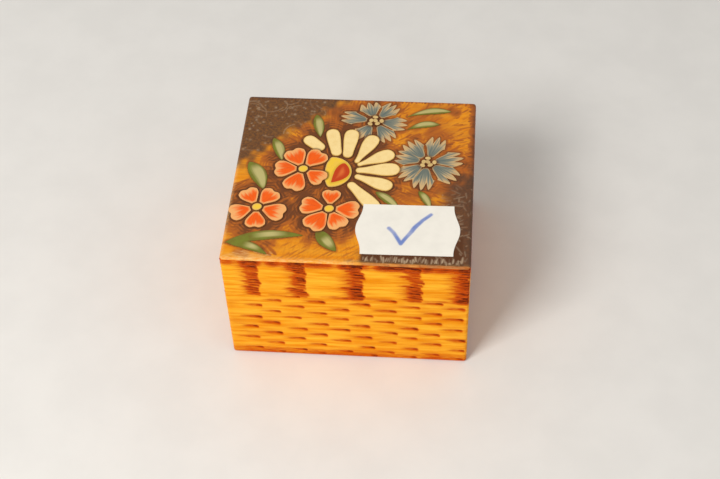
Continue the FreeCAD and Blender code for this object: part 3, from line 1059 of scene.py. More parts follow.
def tick_edges(x, y, rng):
    """Short dark ticks burnt along the right and back edges."""
    field = np.zeros_like(x)
    for place in np.arange(-HALF_DEPTH, HALF_DEPTH, RIGHT_TICKS):
        start = (HALF_WIDTH, place + rng.normal(0, 0.15))
        end = (HALF_WIDTH - rng.uniform(1.0, 2.0), place + rng.normal(0.1, 0.3))
        draw_line(field, x, y, start, end, 0.42, rng.uniform(0.5, 0.9))
    for place in np.arange(-HALF_WIDTH, HALF_WIDTH, BACK_TICKS):
        start = (place + rng.normal(0, 0.15), HALF_DEPTH)
        end = (place + rng.normal(0, 0.25), HALF_DEPTH - rng.uniform(0.8, 1.5))
        draw_line(field, x, y, start, end, 0.36, rng.uniform(0.4, 0.8))
    return field


def patch_gaps(x, y):
    """Distance of each point from the flowers, from the leaves and from any patch, and the drawn outlines."""
    gap, leaf_gap, bed = (np.full(x.shape, PATCH_REACH) for _ in range(3))
    drawn = np.zeros_like(x)
    for patch in all_patches():
        outline = patch_outline(patch)
        near = near_box(x, y, outline, PATCH_REACH)
        nearest = leaf_gap if patch.level == LEAF_LEVEL else gap
        away = signed_distance(x[near], y[near], outline)
        bed[near] = np.minimum(bed[near], away)
        shift = BLUE_SHIFT if patch.level == CORNFLOWER_LEVEL else 0
        nearest[near] = np.minimum(nearest[near], away + shift)
        raise_to(drawn, near, line_darkness(away, patch.level))
    return gap, leaf_gap, bed, drawn


def soot_masks(x, y, wobble):
    """The sooty back corner, the sooty corner beside the label and the dark strip in front of it."""
    back = smooth(-3.0, 1.5, beyond_line(x, y, CORNER_LINE) + 1.2 * wobble)
    beside = smooth(-3.0, 1.4, beyond_line(x, y, LABEL_CORNER_LINE) + wobble)
    strip = smooth(STRIP_LEFT - 0.6, STRIP_LEFT + 0.6, x) * smooth(STRIP_RIGHT, STRIP_RIGHT - 0.8, x)
    strip *= smooth(STRIP_FRONT - 0.3, STRIP_FRONT + 0.2, y + 0.1 * wobble) * smooth(-18, -20, y)
    return back, beside, strip


def shade_flowers(x, y, gap, leaf_gap, wobble, cloud):
    """Burnt shading, rippled and darkest round the flowers."""
    near_flowers = bell(np.maximum(gap, 0), 3.6, 1.9)
    near_leaves = bell(np.maximum(leaf_gap, 0), 0.7)
    ripple = np.sin(2 * np.pi * np.maximum(gap, 0) / 0.95 + 1.3 * wobble + 2 * cloud)
    ripple *= 0.5 + 0.5 * np.sin(1.7 * x + 0.9 * y) * np.sin(1.1 * y - 1.3 * x)
    right = smooth(2, 12, x) * smooth(4, -4, y)
    weight = 0.76 - 0.34 * smooth(4, 10, x)
    shade = 0.06 + 0.05 * cloud + 0.16 * right + 0.15 * smooth(14, 24, x)
    shade = shade + near_flowers * (weight + 0.2 * cloud + 0.3 * ripple)
    return np.maximum(shade, 0.34 * near_leaves)


def paint_ground(x, y):
    """Burnt and painted shade, soot, outlines, scratches and glints of the lid panel, and how deep it is cut,
    at each point.
    """
    rng = np.random.default_rng(GROUND_SEED)
    gap, leaf_gap, bed, drawn = patch_gaps(x, y)
    wobble = 0.7 * np.sin(0.9 * x + 1.3 * y) + 0.5 * np.sin(1.9 * x - 1.1 * y + 1)
    cloud = 0.5 * np.sin(0.5 * x + 0.8 * y + 1) + 0.5 * np.sin(0.95 * x - 0.6 * y + 2.2)
    back, beside, strip = soot_masks(x, y, wobble)
    clean_edge = smooth(*CLEAN_EDGE, y)
    soot = highest(back, beside, strip) * (1 - 0.85 * clean_edge)
    shade = shade_flowers(x, y, gap, leaf_gap, wobble, cloud)
    shade = np.maximum(shade, 0.3 * clean_edge * smooth(2, 5, x))
    for spot_x, spot_y, size in GLOW_SPOTS:
        glow = bell(np.hypot(x - spot_x, y - spot_y), size)
        shade = shade * (1 - 0.75 * glow)
        soot = soot * (1 - 0.8 * glow)
    for spot_x, spot_y, size, force in DARK_SPOTS:
        away = np.hypot(x - spot_x, y - spot_y) + 0.7 * wobble + 0.5 * cloud
        shade = np.maximum(shade, force * bell(away, size))
    shade = highest(shade, hatch(x, y, gap, rng), hatch_front(x, y, rng))
    for start, end in LEAF_STROKES:
        draw_line(shade, x, y, start, end, 0.6, 0.56)
    # A dark band along the right edge: partly burnt, partly painted shade where the rounded edge turns from
    # the lamp
    shade = np.maximum(shade, 0.62 * smooth(2.2, 0.4, HALF_WIDTH - x + 0.4 * wobble))
    ticks = tick_edges(x, y, rng)
    shade = np.maximum(shade, 0.8 * ticks)
    line = np.where(bed < 0, 1.0, np.maximum(drawn, 0.95 * strip * (1 - clean_edge)))
    curls = 0.5 * scratch_corner(x, y, back, rng)
    # Flecks: scratched curls in the back corner; painted glints on the strip and scratches beside the label
    fleck = np.maximum(curls, strip_glints_and_scratches(x, y, np.maximum(beside, strip), rng))
    fleck *= smooth(0.3, 0.9, bed)
    deep = np.where(bed < 0, PATCH_BED, LINE_DEPTH * drawn)
    deep = deep + 0.07 * fleck + 0.06 * shade + 0.05 * ticks
    return shade, soot, line, fleck, deep


def wear_and_highlight_edges(x, y):
    """Front and left edges paled by wear and by painted highlight, with painted glare streaks near their
    corner.
    """
    rng = np.random.default_rng(WEAR_HIGHLIGHT_SEED)
    # Painted highlight together with wear along the front edge, stronger on its left part and most near x =
    # -23
    glint = 0.25 + 0.4 * smooth(4.5, 2.5, x) + 0.35 * bell(x + 23, 6)
    deep = 1.6 + 1.5 * bell(x + 24, 5)
    front = smooth(deep, 0.25 * deep, HALF_DEPTH + y) * glint
    left = 0.5 * smooth(1.2, 0.3, HALF_WIDTH + x) * smooth(6, 2, y)
    streaks = np.zeros_like(x)
    for _ in range(WEAR_HIGHLIGHT_STREAKS):
        place = rng.uniform(*WEAR_HIGHLIGHT_BOX)
        step = rng.normal((1.7, -0.4), (0.6, 0.25))
        draw_line(streaks, x, y, place, place + step, rng.uniform(0.12, 0.26), rng.uniform(0.4, 1))
    return highest(front, left, streaks)


def make_panel(scene):
    """The lid panel with its burnt ground; its edge carries the pattern of the sides."""
    board = scene.trinket_board
    radius = board.edge_round / MM
    w, d = HALF_WIDTH, HALF_DEPTH
    bm = grow_board([[(-w, -d), (w, -d), (w, d), (-w, d)]], PANEL_BASE, LID_TOP)
    round_edges(bm, lambda p: on_corner(p) | at_height(p, LID_TOP), radius, CORNER_SEGMENTS)
    break_edges(bm, PANEL_BASE, radius, board.joint_round / MM, JOINT_SEGMENTS)
    refine_skin(bm, radius, (board.panel_step / MM, board.panel_step / MM, board.rise_step / MM))
    for face in bm.faces:
        middle = face.calc_center_median()
        face.material_index = 0 if face.normal.z > 0.5 else 2 if middle.z < PANEL_BASE + TINY else 1
    bmesh.ops.dissolve_faces(bm, faces=[face for face in bm.faces if face.material_index == 2])
    burnt = burn_sides(bm, scene.trinket_burn, radius)
    places = points_of(bm)
    shade, soot, line, fleck, deep = paint_ground(places[:, 0], places[:, 1])
    top = at_height(places, LID_TOP)
    inner = -rounded_distance(places, radius) - radius
    places[:, 2] -= np.where(top, deep * smooth(0, 0.4, inner), 0)
    move_points(bm, places)
    # Painted highlight and wear along the front and left edges
    worn = wear_and_highlight_edges(places[:, 0], places[:, 1])
    keep_values(bm, burn=burnt, shade=shade, soot=soot, line=line, fleck=fleck, worn=worn)
    materials = [panel_paint(scene), honey_wood(scene, "across"), bare_wood(scene, "across")]
    add_piece("lid_panel_board", bm, materials, "lid", ["lid_panel"])


LABEL_COLUMNS, LABEL_ROWS = 104, 64
LABEL_GAP = 0.012
PEN_SEED = 5
PEN_SOFTNESS = 0.14
PEN_STROKE = (
    (-4.6, 0.4),
    (-3.4, -1.0),
    (-2.2, -3.2),
    (-1.5, -4.6),
    (-0.2, -2.4),
    (1.6, 0.6),
    (3.6, 3.2),
    (5.6, 5.2),
)


def make_label(scene):
    """The paper label with a pen stroke on it."""
    label = scene.trinket_label
    half_waist, half_height = label.waist / MM / 2, label.height / MM / 2
    bulge, thick = label.bulge / MM, label.thickness / MM
    bm = bmesh.new()
    bmesh.ops.create_grid(bm, x_segments=LABEL_COLUMNS, y_segments=LABEL_ROWS, size=1)
    unit = points_of(bm)
    u, v = unit[:, 0], unit[:, 1]
    swell = bulge * ((1 + np.cos(np.pi * v)) / 2) ** 1.3
    x, y = u * (half_waist + swell), v * half_height
    lift = label.curl / MM * np.abs(u * v) ** 3
    z = thick + LABEL_GAP + lift + 0.006 * np.sin(0.5 * x + 0.8) * np.sin(0.6 * y)
    stroke = np.full(x.shape, np.inf)
    for start, end in zip(PEN_STROKE[:-1], PEN_STROKE[1:]):
        stroke = np.minimum(stroke, segment_distance(x, y, start, end)[0])
    pen = label.pen_width / MM * (0.86 + 0.14 * wander(PEN_SEED, x, 1.5))
    ink = smooth(pen + PEN_SOFTNESS, pen - PEN_SOFTNESS, stroke)
    move_points(bm, np.stack([x, y, z], -1))
    keep_values(bm, ink=ink)
    bmesh.ops.solidify(bm, geom=bm.faces[:], thickness=thick)
    bmesh.ops.recalc_face_normals(bm, faces=bm.faces)
    middle = (LABEL[0] + LABEL[1]) / 2
    place = Matrix.Translation((middle.x, middle.y, LABEL[0].z)) @ Matrix.Rotation(label.turn, 4, "Z")
    bmesh.ops.transform(bm, matrix=place, verts=bm.verts)
    add_piece("paper_label", bm, [label_paper(scene)], "lid", ["price_label"], sharp=60)


# Shader helpers
def feed(tree, socket, value):
    """Links another socket to this one, or sets its value."""
    if isinstance(value, bpy.types.NodeSocket):
        tree.links.new(value, socket)
    elif socket.type == "RGBA":
        socket.default_value = (*value, 1)
    else:
        socket.default_value = value


def add_node(tree, kind, inputs=None, **settings):
    """A shader node with its settings, and with values or links on its inputs."""
    node = tree.nodes.new(kind)
    for name, value in settings.items():
        setattr(node, name, value)
    for name, value in (inputs or {}).items():
        feed(tree, node.inputs[name], value)
    return node


def calc(tree, operation, a, b=0.0, clamp=False):
    """One operation on two values."""
    node = add_node(tree, "ShaderNodeMath", {0: a, 1: b}, operation=operation, use_clamp=clamp)
    return node.outputs[0]


def add_share(tree, value, extra, strength):
    """A value with a share of another one added to it."""
    return calc(tree, "ADD", value, calc(tree, "MULTIPLY", extra, strength))


def ramp(tree, value, low, high, to_low=0.0, to_high=1.0):
    """A soft step from one value to another."""
    node = add_node(
        tree,
        "ShaderNodeMapRange",
        {"Value": value, "From Min": low, "From Max": high, "To Min": to_low, "To Max": to_high},
        interpolation_type="SMOOTHSTEP",
    )
    return node.outputs["Result"]


def vector_calc(tree, operation, a, b=(0, 0, 0)):
    """One operation on two vectors; its outputs are a vector and a value."""
    return add_node(tree, "ShaderNodeVectorMath", {0: a, 1: b}, operation=operation).outputs


def mix(tree, factor, a, b, blend="MIX"):
    """A mix of two colours."""
    inputs = {0: factor, 6: a, 7: b}
    return add_node(tree, "ShaderNodeMix", inputs, data_type="RGBA", blend_type=blend).outputs[2]


def kept(tree, name):
    """A value that was kept on the points of the mesh."""
    return add_node(tree, "ShaderNodeAttribute", attribute_name=name).outputs["Fac"]


def noise(tree, vector, scale, detail=3.0, roughness=0.55):
    """Soft noise from 0 to 1."""
    inputs = {"Vector": vector, "Scale": scale, "Detail": detail, "Roughness": roughness}
    return add_node(tree, "ShaderNodeTexNoise", inputs).outputs["Fac"]


def stretched(tree, vector, scale):
    """Coordinates drawn out along an axis."""
    return add_node(tree, "ShaderNodeMapping", {"Vector": vector, "Scale": scale}).outputs["Vector"]


def object_place(tree):
    """Coordinates of the piece."""
    return add_node(tree, "ShaderNodeTexCoord").outputs["Object"]


def new_group(name, inputs, outputs):
    """An empty shader group with named sockets, and its two end nodes."""
    tree = bpy.data.node_groups.new(name, "ShaderNodeTree")
    for way, sockets in (("INPUT", inputs), ("OUTPUT", outputs)):
        for socket, kind in sockets.items():
            tree.interface.new_socket(socket, in_out=way, socket_type=f"NodeSocket{kind}")
    return tree, add_node(tree, "NodeGroupInput").outputs, add_node(tree, "NodeGroupOutput").inputs


def use_group(tree, group, **inputs):
    """A shader group placed in a material."""
    return add_node(tree, "ShaderNodeGroup", inputs, node_tree=group).outputs


def once(make):
    """Makes a material or group only the first time it is asked for, whatever the scene."""
    made = {}

    def asked(*args):
        key = args[1:]
        if key not in made:
            made[key] = make(*args)
        return made[key]

    return asked


@once
def grain_group():
    """Streaks and fibres of wood; the vector is already drawn out along the grain."""
    tree, given, out = new_group("Wood grain", {"Vector": "Vector"}, {"Streak": "Float", "Fibre": "Float"})
    streak = noise(tree, given["Vector"], 1.0, 4.0, 0.6)
    fibre = noise(tree, given["Vector"], 6.5, 3.0, 0.65)
    tree.links.new(ramp(tree, streak, 0.3, 0.7), out["Streak"])
    tree.links.new(ramp(tree, fibre, 0.3, 0.72), out["Fibre"])
    return tree


@once
def burnt_group():
    """Colour of varnished wood from clean to charred."""
    inputs = {"Burn": "Float", "Streak": "Float", "Fibre": "Float"}
    inputs.update({name: "Color" for name in ("Amber", "Honey", "Toast", "Char")})
    tree, given, out = new_group("Burnt wood", inputs, {"Color": "Color", "Burn": "Float"})
    ragged = calc(tree, "MULTIPLY", given["Burn"], ramp(tree, given["Fibre"], 0.0, 1.0, 0.72, 1.28))
    base = mix(tree, given["Streak"], given["Amber"], given["Honey"])
    toasted = mix(tree, ramp(tree, ragged, 0.0, 0.46), base, given["Toast"])
    charred = mix(tree, ramp(tree, ragged, 0.42, 0.98), toasted, given["Char"])
    tree.links.new(charred, out["Color"])
    tree.links.new(ragged, out["Burn"])
    return tree


@once
def spread_group():
    """Streaks that run out from a centre, with no seam."""
    inputs = {"Vector": "Vector", "Centre": "Vector"}
    tree, given, out = new_group("Spreading streaks", inputs, {"Streak": "Float", "Fine": "Float"})
    away = vector_calc(tree, "SUBTRACT", given["Vector"], given["Centre"])["Vector"]
    flat = vector_calc(tree, "MULTIPLY", away, (1, 1, 0))["Vector"]
    course = vector_calc(tree, "NORMALIZE", flat)["Vector"]
    reach = vector_calc(tree, "LENGTH", flat)["Value"]
    for name, round_scale, out_scale in (("Streak", 16.0, 160.0), ("Fine", 44.0, 300.0)):
        ring = vector_calc(tree, "MULTIPLY", course, (round_scale,) * 3)["Vector"]
        lift = add_node(tree, "ShaderNodeCombineXYZ", {"Z": calc(tree, "MULTIPLY", reach, out_scale)})
        place = vector_calc(tree, "ADD", ring, lift.outputs["Vector"])["Vector"]
        tree.links.new(ramp(tree, noise(tree, place, 1.0, 2.0), 0.32, 0.68), out[name])
    return tree


def new_material(name):
    """A material with its tree and its shader."""
    material = bpy.data.materials.new(name)
    material.use_nodes = True
    tree = material.node_tree
    return material, tree, tree.nodes["Principled BSDF"]


def set_shader(tree, shader, **values):
    """Sets or links sockets of the shader by their names with underscores."""
    for name, value in values.items():
        feed(tree, shader.inputs[name.replace("_", " ")], value)


def bump(tree, height, strength, distance):
    """A normal from a height."""
    node = add_node(tree, "ShaderNodeBump", {"Height": height, "Strength": strength, "Distance": distance})
    return node.outputs["Normal"]


# Materials
GRAIN_SCALES = {"across": (70, 900, 900), "deep": (900, 70, 900)}
WALL_VARNISH = {"Specular_IOR_Level": 0.04, "Coat_Weight": 0.02, "Coat_Roughness": 0.15}
LID_VARNISH = {"Specular_IOR_Level": 0.22, "Coat_Weight": 0.08, "Coat_Roughness": 0.2}
# Each paint: inner and rim colour, width of the rim, size of the brush streaks, raggedness
PLAIN_PAINTS = {
    "daisy_petal_paint": ("cream", "straw", 0.2, (6, 1.0), 0.3),
    "yellow_eye_paint": ("yellow", "straw", 0.22, (4, 4), 0.3),
    "rust_comma_paint": ("ember", "rust", 1.5, (3, 0.8), 1.1),
    "stamen_paint": ("stamen", "umber", 0.12, (4, 4), 0.2),
}
# Each metal: its clean colour, and its roughness where it is clean and where it is dull
METALS = {"hinge": ("brass", 0.26, 0.55), "nail": ("nail", 0.2, 0.45), "pin": ("steel", 0.3, 0.5)}


def grain_lines(tree, grain):
    """Streaks and fibres of wood along one way of the grain."""
    place = stretched(tree, object_place(tree), GRAIN_SCALES[grain])
    return use_group(tree, grain_group(), Vector=place)


@once
def honey_wood(scene, grain):
    """Varnished wood with the burnt pattern."""
    wood = scene.trinket_wood
    material, tree, shader = new_material(f"honey_wood_{grain}")
    lines = grain_lines(tree, grain)
    masks = {"Burn": kept(tree, "burn"), "Streak": lines["Streak"], "Fibre": lines["Fibre"]}
    colours = {"Amber": wood.amber, "Honey": wood.honey, "Toast": wood.toast, "Char": wood.char}
    look = use_group(tree, burnt_group(), **masks, **colours)
    rough = ramp(tree, look["Burn"], 0.1, 0.9, 0.3, 0.5)
    normal = bump(tree, lines["Fibre"], 0.12, 0.0002)
    set_shader(tree, shader, Base_Color=look["Color"], Roughness=rough, Normal=normal, **WALL_VARNISH)
    return material


@once
def bare_wood(scene, grain):
    """Plain planed wood."""
    wood = scene.trinket_wood
    material, tree, shader = new_material(f"bare_wood_{grain}")
    lines = grain_lines(tree, grain)
    base = mix(tree, lines["Streak"], wood.bare, wood.bare_grain)
    fine = mix(tree, ramp(tree, lines["Fibre"], 0.0, 1.0, 0.0, 0.35), base, wood.bare_grain, "MULTIPLY")
    rough = ramp(tree, lines["Fibre"], 0.0, 1.0, 0.55, 0.72)
    set_shader(tree, shader, Base_Color=fine, Roughness=rough, Normal=bump(tree, lines["Fibre"], 0.2, 0.0002))
    return material


@once
def panel_paint(scene):
    """Burnt ground of the lid panel under varnish."""
    paint, wood = scene.trinket_paint, scene.trinket_wood
    material, tree, shader = new_material("panel_ground")
    place = object_place(tree)
    centre = (DAISY_CENTRE[0] * MM, DAISY_CENTRE[1] * MM, 0)
    streaks = use_group(tree, spread_group(), Vector=place, Centre=centre)
    lines = grain_lines(tree, "across")
    grit = noise(tree, place, 1500.0, 4.0, 0.7)
    shade = calc(tree, "MULTIPLY", kept(tree, "shade"), ramp(tree, streaks["Streak"], 0, 1, 0.8, 1.15))
    sooty = calc(tree, "MULTIPLY", kept(tree, "soot"), ramp(tree, grit, 0.3, 0.7, 0.82, 1.0))
    # Painted highlight and wear along the front and left edges, mottled along the fibres
    worn = calc(tree, "MULTIPLY", kept(tree, "worn"), ramp(tree, lines["Fibre"], 0.2, 0.8, 0.1, 0.75))
    look = mix(tree, lines["Streak"], paint.ground, wood.honey)
    for factor, layer in (
        (ramp(tree, shade, 0.06, 0.4), paint.tan),
        (ramp(tree, shade, 0.36, 0.78), paint.umber),
        (sooty, paint.soot),
        (kept(tree, "line"), paint.outline),
        # Light scratches, and painted glints on the strip
        (kept(tree, "fleck"), paint.scratch_and_glint),
        (worn, paint.worn),
    ):
        look = mix(tree, factor, look, layer)
    rough = ramp(tree, grit, 0.3, 0.7, 0.34, 0.46)
    normal = bump(tree, streaks["Fine"], 0.25, 0.0002)
    set_shader(tree, shader, Base_Color=look, Roughness=rough, Normal=normal, **LID_VARNISH)
    return material


def patch_place(tree):
    """Coordinates across and along a painted patch."""
    return add_node(tree, "ShaderNodeUVMap", uv_map="patch").outputs["UV"]


def patch_sides(tree):
    """Across and along a painted patch, both from 0 to 1."""
    split = add_node(tree, "ShaderNodeSeparateXYZ", {0: patch_place(tree)})
    return calc(tree, "FRACT", split.outputs["X"]), split.outputs["Y"]


def brush_marks(tree, across, along):
    """Brush streaks along a patch, from -0.5 to 0.5, different on each patch."""
    marks = noise(tree, stretched(tree, patch_place(tree), (across, along, 1)), 1.0, 3.0)
    return calc(tree, "SUBTRACT", marks, 0.5)


def finish_paint(scene, tree, shader, look, brush):
    """Burnt outlines over the paint, and varnish with the brush marks in it."""
    lined = mix(tree, kept(tree, "ink"), look, scene.trinket_paint.outline)
    rough = ramp(tree, noise(tree, object_place(tree), 700.0, 3.0), 0.3, 0.7, 0.36, 0.48)
    normal = bump(tree, brush, 0.15, 0.0001)
    set_shader(tree, shader, Base_Color=lined, Roughness=rough, Normal=normal, **LID_VARNISH)


@once
def plain_paint(scene, name):
    """Paint that turns from one colour at the rim of a patch to another inside, along brush streaks."""
    inner, rim, rim_width, brush_size, ragged = PLAIN_PAINTS[name]
    inside, border = getattr(scene.trinket_paint, inner), getattr(scene.trinket_paint, rim)
    material, tree, shader = new_material(name)
    brush = brush_marks(tree, *brush_size)
    blot = noise(tree, object_place(tree), 700.0, 3.0)
    edge = add_share(tree, kept(tree, "rim"), brush, ragged)
    body = mix(tree, ramp(tree, edge, rim_width * 0.45, rim_width * 1.5), border, inside)
    look = mix(tree, ramp(tree, blot, 0.4, 0.8, 0.0, 0.3), body, border)
    finish_paint(scene, tree, shader, look, brush)
    return material


@once
def leaf_paint(scene):
    """Green leaf with a pale streak to one side of its middle."""
    paint = scene.trinket_paint
    material, tree, shader = new_material("leaf_paint")
    across, along = patch_sides(tree)
    brush = brush_marks(tree, 7, 1.4)
    blot = noise(tree, object_place(tree), 500.0, 3.0)
    off = calc(tree, "ABSOLUTE", calc(tree, "SUBTRACT", across, 0.57))
    off = add_share(tree, off, brush, 0.34)
    middle = calc(tree, "ABSOLUTE", calc(tree, "SUBTRACT", along, 0.58))
    tone = kept(tree, "tone")
    extent = ramp(tree, middle, tone, calc(tree, "SUBTRACT", tone, 0.26))
    streak = calc(tree, "MULTIPLY", ramp(tree, off, 0.42, 0.14, 0.0, 0.9), extent)
    base = mix(tree, ramp(tree, blot, 0.35, 0.7, 0.0, 0.35), paint.leaf, paint.umber)
    edge = mix(tree, ramp(tree, kept(tree, "rim"), 0.3, 0.0, 0.0, 0.3), base, paint.umber)
    finish_paint(scene, tree, shader, mix(tree, streak, edge, paint.sap), brush)
    return material


@once
def red_paint(scene):
    """Red petal brushed outwards over peach."""
    paint = scene.trinket_paint
    material, tree, shader = new_material("red_petal_paint")
    along = patch_sides(tree)[1]
    brush = brush_marks(tree, 9, 0.9)
    edge = calc(tree, "ADD", kept(tree, "rim"), brush)
    tip = add_share(tree, add_share(tree, along, brush, 1.1), kept(tree, "tone"), 0.3)
    body = calc(tree, "MULTIPLY", ramp(tree, edge, 0.06, 0.64), ramp(tree, tip, 1.12, 0.68))
    red = mix(tree, ramp(tree, brush, -0.1, 0.2, 0.0, 0.4), paint.red, paint.rust)
    finish_paint(scene, tree, shader, mix(tree, body, paint.peach, red), brush)
    return material


@once
def blue_paint(scene):
    """Blue cornflower petal, dark at its base, with pale tips."""
    paint = scene.trinket_paint
    material, tree, shader = new_material("cornflower_paint")
    along = patch_sides(tree)[1]
    brush = brush_marks(tree, 12, 0.8)
    base = ramp(tree, along, 0.75, 0.1, 0.0, 0.75)
    deep = calc(tree, "ADD", base, ramp(tree, brush, -0.04, 0.12, 0.0, 0.8), clamp=True)
    blue = mix(tree, deep, paint.blue, paint.navy)
    tip = ramp(tree, add_share(tree, along, brush, -1.9), 0.5, 1.0, 0.0, 0.92)
    rim = ramp(tree, add_share(tree, kept(tree, "rim"), brush, 0.7), 0.42, 0.0, 0.0, 0.75)
    look = mix(tree, calc(tree, "MAXIMUM", tip, rim), blue, paint.mist)
    finish_paint(scene, tree, shader, look, brush)
    return material


@once
def aged_metal(scene, name):
    """Metal that is dulled in patches."""
    metal = scene.trinket_metal
    clean, smoothest, roughest = METALS[name]
    material, tree, shader = new_material(f"{name}_metal")
    place = object_place(tree)
    patch = noise(tree, place, 700.0, 6.0, 0.7)
    rub = noise(tree, stretched(tree, place, (300, 2600, 2600)), 1.0, 2.0)
    dull = ramp(tree, patch, 0.4, 0.75, 0.0, 0.55)
    age = calc(tree, "ADD", dull, ramp(tree, rub, 0.4, 0.7, 0.0, 0.16), clamp=True)
    look = mix(tree, age, getattr(metal, clean), metal.tarnish)
    rough = ramp(tree, age, 0.0, 0.9, smoothest, roughest)
    normal = bump(tree, patch, 0.1, 0.0001)
    set_shader(tree, shader, Base_Color=look, Roughness=rough, Normal=normal, Metallic=1.0)
    return material


@once
def label_paper(scene):
    """White paper with fibres and a pen stroke."""
    label = scene.trinket_label
    material, tree, shader = new_material("label_paper")
    place = object_place(tree)
    pulp = noise(tree, place, 2600.0, 4.0, 0.7)
    cloud = noise(tree, place, 260.0, 3.0)
    dim = [0.9 * c for c in label.paper]
    base = mix(tree, ramp(tree, cloud, 0.3, 0.75, 0.0, 0.55), label.paper, dim)
    wet = calc(tree, "MULTIPLY", kept(tree, "ink"), ramp(tree, cloud, 0.3, 0.7, 0.75, 1.0))
    written = mix(tree, wet, base, label.ink)
    rough = ramp(tree, pulp, 0.3, 0.7, 0.62, 0.8)
    set_shader(tree, shader, Base_Color=written, Roughness=rough, Normal=bump(tree, pulp, 0.15, 0.00005))
    return material


@once
def floor_finish(scene):
    """Plain pale floor with a faint mottle."""
    pale = scene.trinket_stage.floor
    material, tree, shader = new_material("pale_floor")
    mottle = noise(tree, object_place(tree), 60.0, 4.0)
    base = mix(tree, ramp(tree, mottle, 0.3, 0.7), pale, [0.96 * c for c in pale])
    set_shader(tree, shader, Base_Color=base, Roughness=0.85)
    return material


# Stage
KEY_PLACE, KEY_SIZE = (-0.36, -0.46, 0.54), 0.3
FILL_PLACE, FILL_SIZE = (0.55, -0.25, 0.35), 0.5
FLOOR_SEGMENTS = 96


def aim(place, target):
    """The turn that points a lamp from its place to a target."""
    return (Vector(target) - Vector(place)).to_track_quat("-Z", "Y").to_euler()


def add_lamp(name, place, size, power):
    """A soft square lamp that points at the box."""
    lamp = bpy.data.lights.new(name, "AREA")
    lamp.shape = "SQUARE"
    lamp.size = size
    lamp.energy = power
    holder = bpy.data.objects.new(name, lamp)
    holder.location = place
    holder.rotation_euler = aim(place, (0, 0, LID_TOP * MM / 2))
    bpy.context.scene.collection.objects.link(holder)


def make_stage(scene):
    """Floor, lamps, sky and camera."""
    stage = scene.trinket_stage
    bm = bmesh.new()
    bmesh.ops.create_circle(bm, cap_ends=True, segments=FLOOR_SEGMENTS, radius=stage.floor_radius)
    mesh = bpy.data.meshes.new("floor")
    bm.to_mesh(mesh)
    bm.free()
    mesh.materials.append(floor_finish(scene))
    floor = bpy.data.objects.new("floor", mesh)
    scene.collection.objects.link(floor)
    add_lamp("key_lamp", KEY_PLACE, KEY_SIZE, stage.key_power)
    add_lamp("fill_lamp", FILL_PLACE, FILL_SIZE, stage.fill_power)
    world = bpy.data.worlds.new("studio")
    world.use_nodes = True
    background = world.node_tree.nodes["Background"]
    background.inputs["Color"].default_value = (1, 1, 1, 1)
    background.inputs["Strength"].default_value = stage.sky
    scene.world = world
    camera = bpy.data.objects.new("camera", bpy.data.cameras.new("camera"))
    camera.data.lens = stage.lens
    camera.data.clip_start = MM
    look = Euler((math.pi / 2 - stage.elevation, 0, stage.azimuth)).to_matrix()
    turn = look @ Matrix.Rotation(stage.roll, 3, "Z")
    camera.matrix_world = Matrix.Translation(stage.camera_place) @ turn.to_4x4()
    scene.collection.objects.link(camera)
    scene.camera = camera
    scene.view_settings.view_transform = "Standard"


# Operators
class TRINKET_OT_walls(bpy.types.Operator):
    """Makes the four burnt walls of the box"""

    bl_idname = "trinket.walls"
    bl_label = "Walls"

    def execute(self, context):
        for word in BOARDS:
            make_board(word, False, context.scene)
        return {"FINISHED"}


class TRINKET_OT_rails(bpy.types.Operator):
    """Makes the four burnt rails of the lid"""

    bl_idname = "trinket.rails"
    bl_label = "Lid rails"

    def execute(self, context):
        for word in BOARDS:
            make_board(word, True, context.scene)
        return {"FINISHED"}


class TRINKET_OT_bottom(bpy.types.Operator):
    """Finishes the bottom panel"""

    bl_idname = "trinket.bottom"
    bl_label = "Bottom panel"

    def execute(self, context):
        dress_node("bottom_panel", bare_wood(context.scene, "across"))
        return {"FINISHED"}


class TRINKET_OT_panel(bpy.types.Operator):
    """Makes the lid panel with its burnt ground"""

    bl_idname = "trinket.panel"
    bl_label = "Lid panel"

    def execute(self, context):
        make_panel(context.scene)
        return {"FINISHED"}


class TRINKET_OT_leaves(bpy.types.Operator):
    """Paints the leaves"""

    bl_idname = "trinket.leaves"
    bl_label = "Leaves"

    def execute(self, context):
        grow_patches("painted_leaves", [leaf_patches()], [leaf_paint(context.scene)])
        return {"FINISHED"}


class TRINKET_OT_cornflowers(bpy.types.Operator):
    """Paints the two cornflowers"""

    bl_idname = "trinket.cornflowers"
    bl_label = "Cornflowers"

    def execute(self, context):
        paints = [blue_paint(context.scene), plain_paint(context.scene, "stamen_paint")]
        for name, flower in CORNFLOWERS.items():
            grow_patches(name, cornflower_patches(*flower), paints)
        return {"FINISHED"}


class TRINKET_OT_daisy(bpy.types.Operator):
    """Paints the daisy"""

    bl_idname = "trinket.daisy"
    bl_label = "Daisy"

    def execute(self, context):
        names = ("daisy_petal_paint", "yellow_eye_paint", "rust_comma_paint")
        grow_patches("daisy", daisy_patches(), [plain_paint(context.scene, name) for name in names])
        return {"FINISHED"}


class TRINKET_OT_red_flowers(bpy.types.Operator):
    """Paints the three red flowers"""

    bl_idname = "trinket.red_flowers"
    bl_label = "Red flowers"

    def execute(self, context):
        paints = [red_paint(context.scene), plain_paint(context.scene, "yellow_eye_paint")]
        for name, flower in RED_FLOWERS.items():
            grow_patches(name, red_flower_patches(*flower), paints)
        return {"FINISHED"}


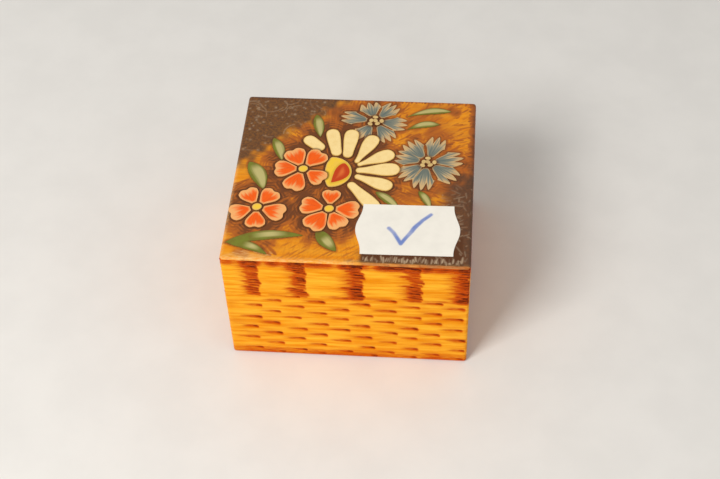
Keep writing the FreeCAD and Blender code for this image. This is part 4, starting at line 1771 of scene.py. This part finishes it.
class TRINKET_OT_hinges(bpy.types.Operator):
    """Finishes the hinges, their pins and their nails"""

    bl_idname = "trinket.hinges"
    bl_label = "Hinges"

    def execute(self, context):
        for side in ("left", "right"):
            dress_node(f"{side}_hinge_pin", aged_metal(context.scene, "pin"))
            for half in ("base", "lid"):
                dress_node(f"{side}_hinge_{half}_leaf", aged_metal(context.scene, "hinge"))
                dress_node(f"{side}_hinge_{half}_nails", aged_metal(context.scene, "nail"))
        return {"FINISHED"}


class TRINKET_OT_label(bpy.types.Operator):
    """Makes the paper label"""

    bl_idname = "trinket.label"
    bl_label = "Label"

    def execute(self, context):
        make_label(context.scene)
        return {"FINISHED"}


class TRINKET_OT_stage(bpy.types.Operator):
    """Sets up the floor, the light and the camera"""

    bl_idname = "trinket.stage"
    bl_label = "Stage"

    def execute(self, context):
        make_stage(context.scene)
        return {"FINISHED"}


OPERATORS = (
    TRINKET_OT_walls,
    TRINKET_OT_rails,
    TRINKET_OT_bottom,
    TRINKET_OT_panel,
    TRINKET_OT_leaves,
    TRINKET_OT_cornflowers,
    TRINKET_OT_daisy,
    TRINKET_OT_red_flowers,
    TRINKET_OT_hinges,
    TRINKET_OT_label,
    TRINKET_OT_stage,
)


class TRINKET_PT_sidebar(bpy.types.Panel):
    """Lists the steps that finish the box"""

    bl_idname = "TRINKET_PT_sidebar"
    bl_label = "Trinket Box"
    bl_space_type = "VIEW_3D"
    bl_region_type = "UI"
    bl_category = "Trinket Box"

    def draw(self, context):
        for operator in OPERATORS:
            self.layout.operator(operator.bl_idname)


CLASSES = (*SETTINGS.values(), *OPERATORS, TRINKET_PT_sidebar)


def register():
    """Adds the settings, operators and panel to Blender."""
    for item in CLASSES:
        bpy.utils.register_class(item)
    for name, group in SETTINGS.items():
        setattr(bpy.types.Scene, name, PointerProperty(type=group))


def unregister():
    """Takes the settings, operators and panel out of Blender."""
    for name in SETTINGS:
        delattr(bpy.types.Scene, name)
    for item in reversed(CLASSES):
        bpy.utils.unregister_class(item)


def main():
    """Finishes every piece of the box."""
    register()
    for operator in OPERATORS:
        section, name = operator.bl_idname.split(".")
        getattr(getattr(bpy.ops, section), name)()


if __name__ == "__main__":
    main()
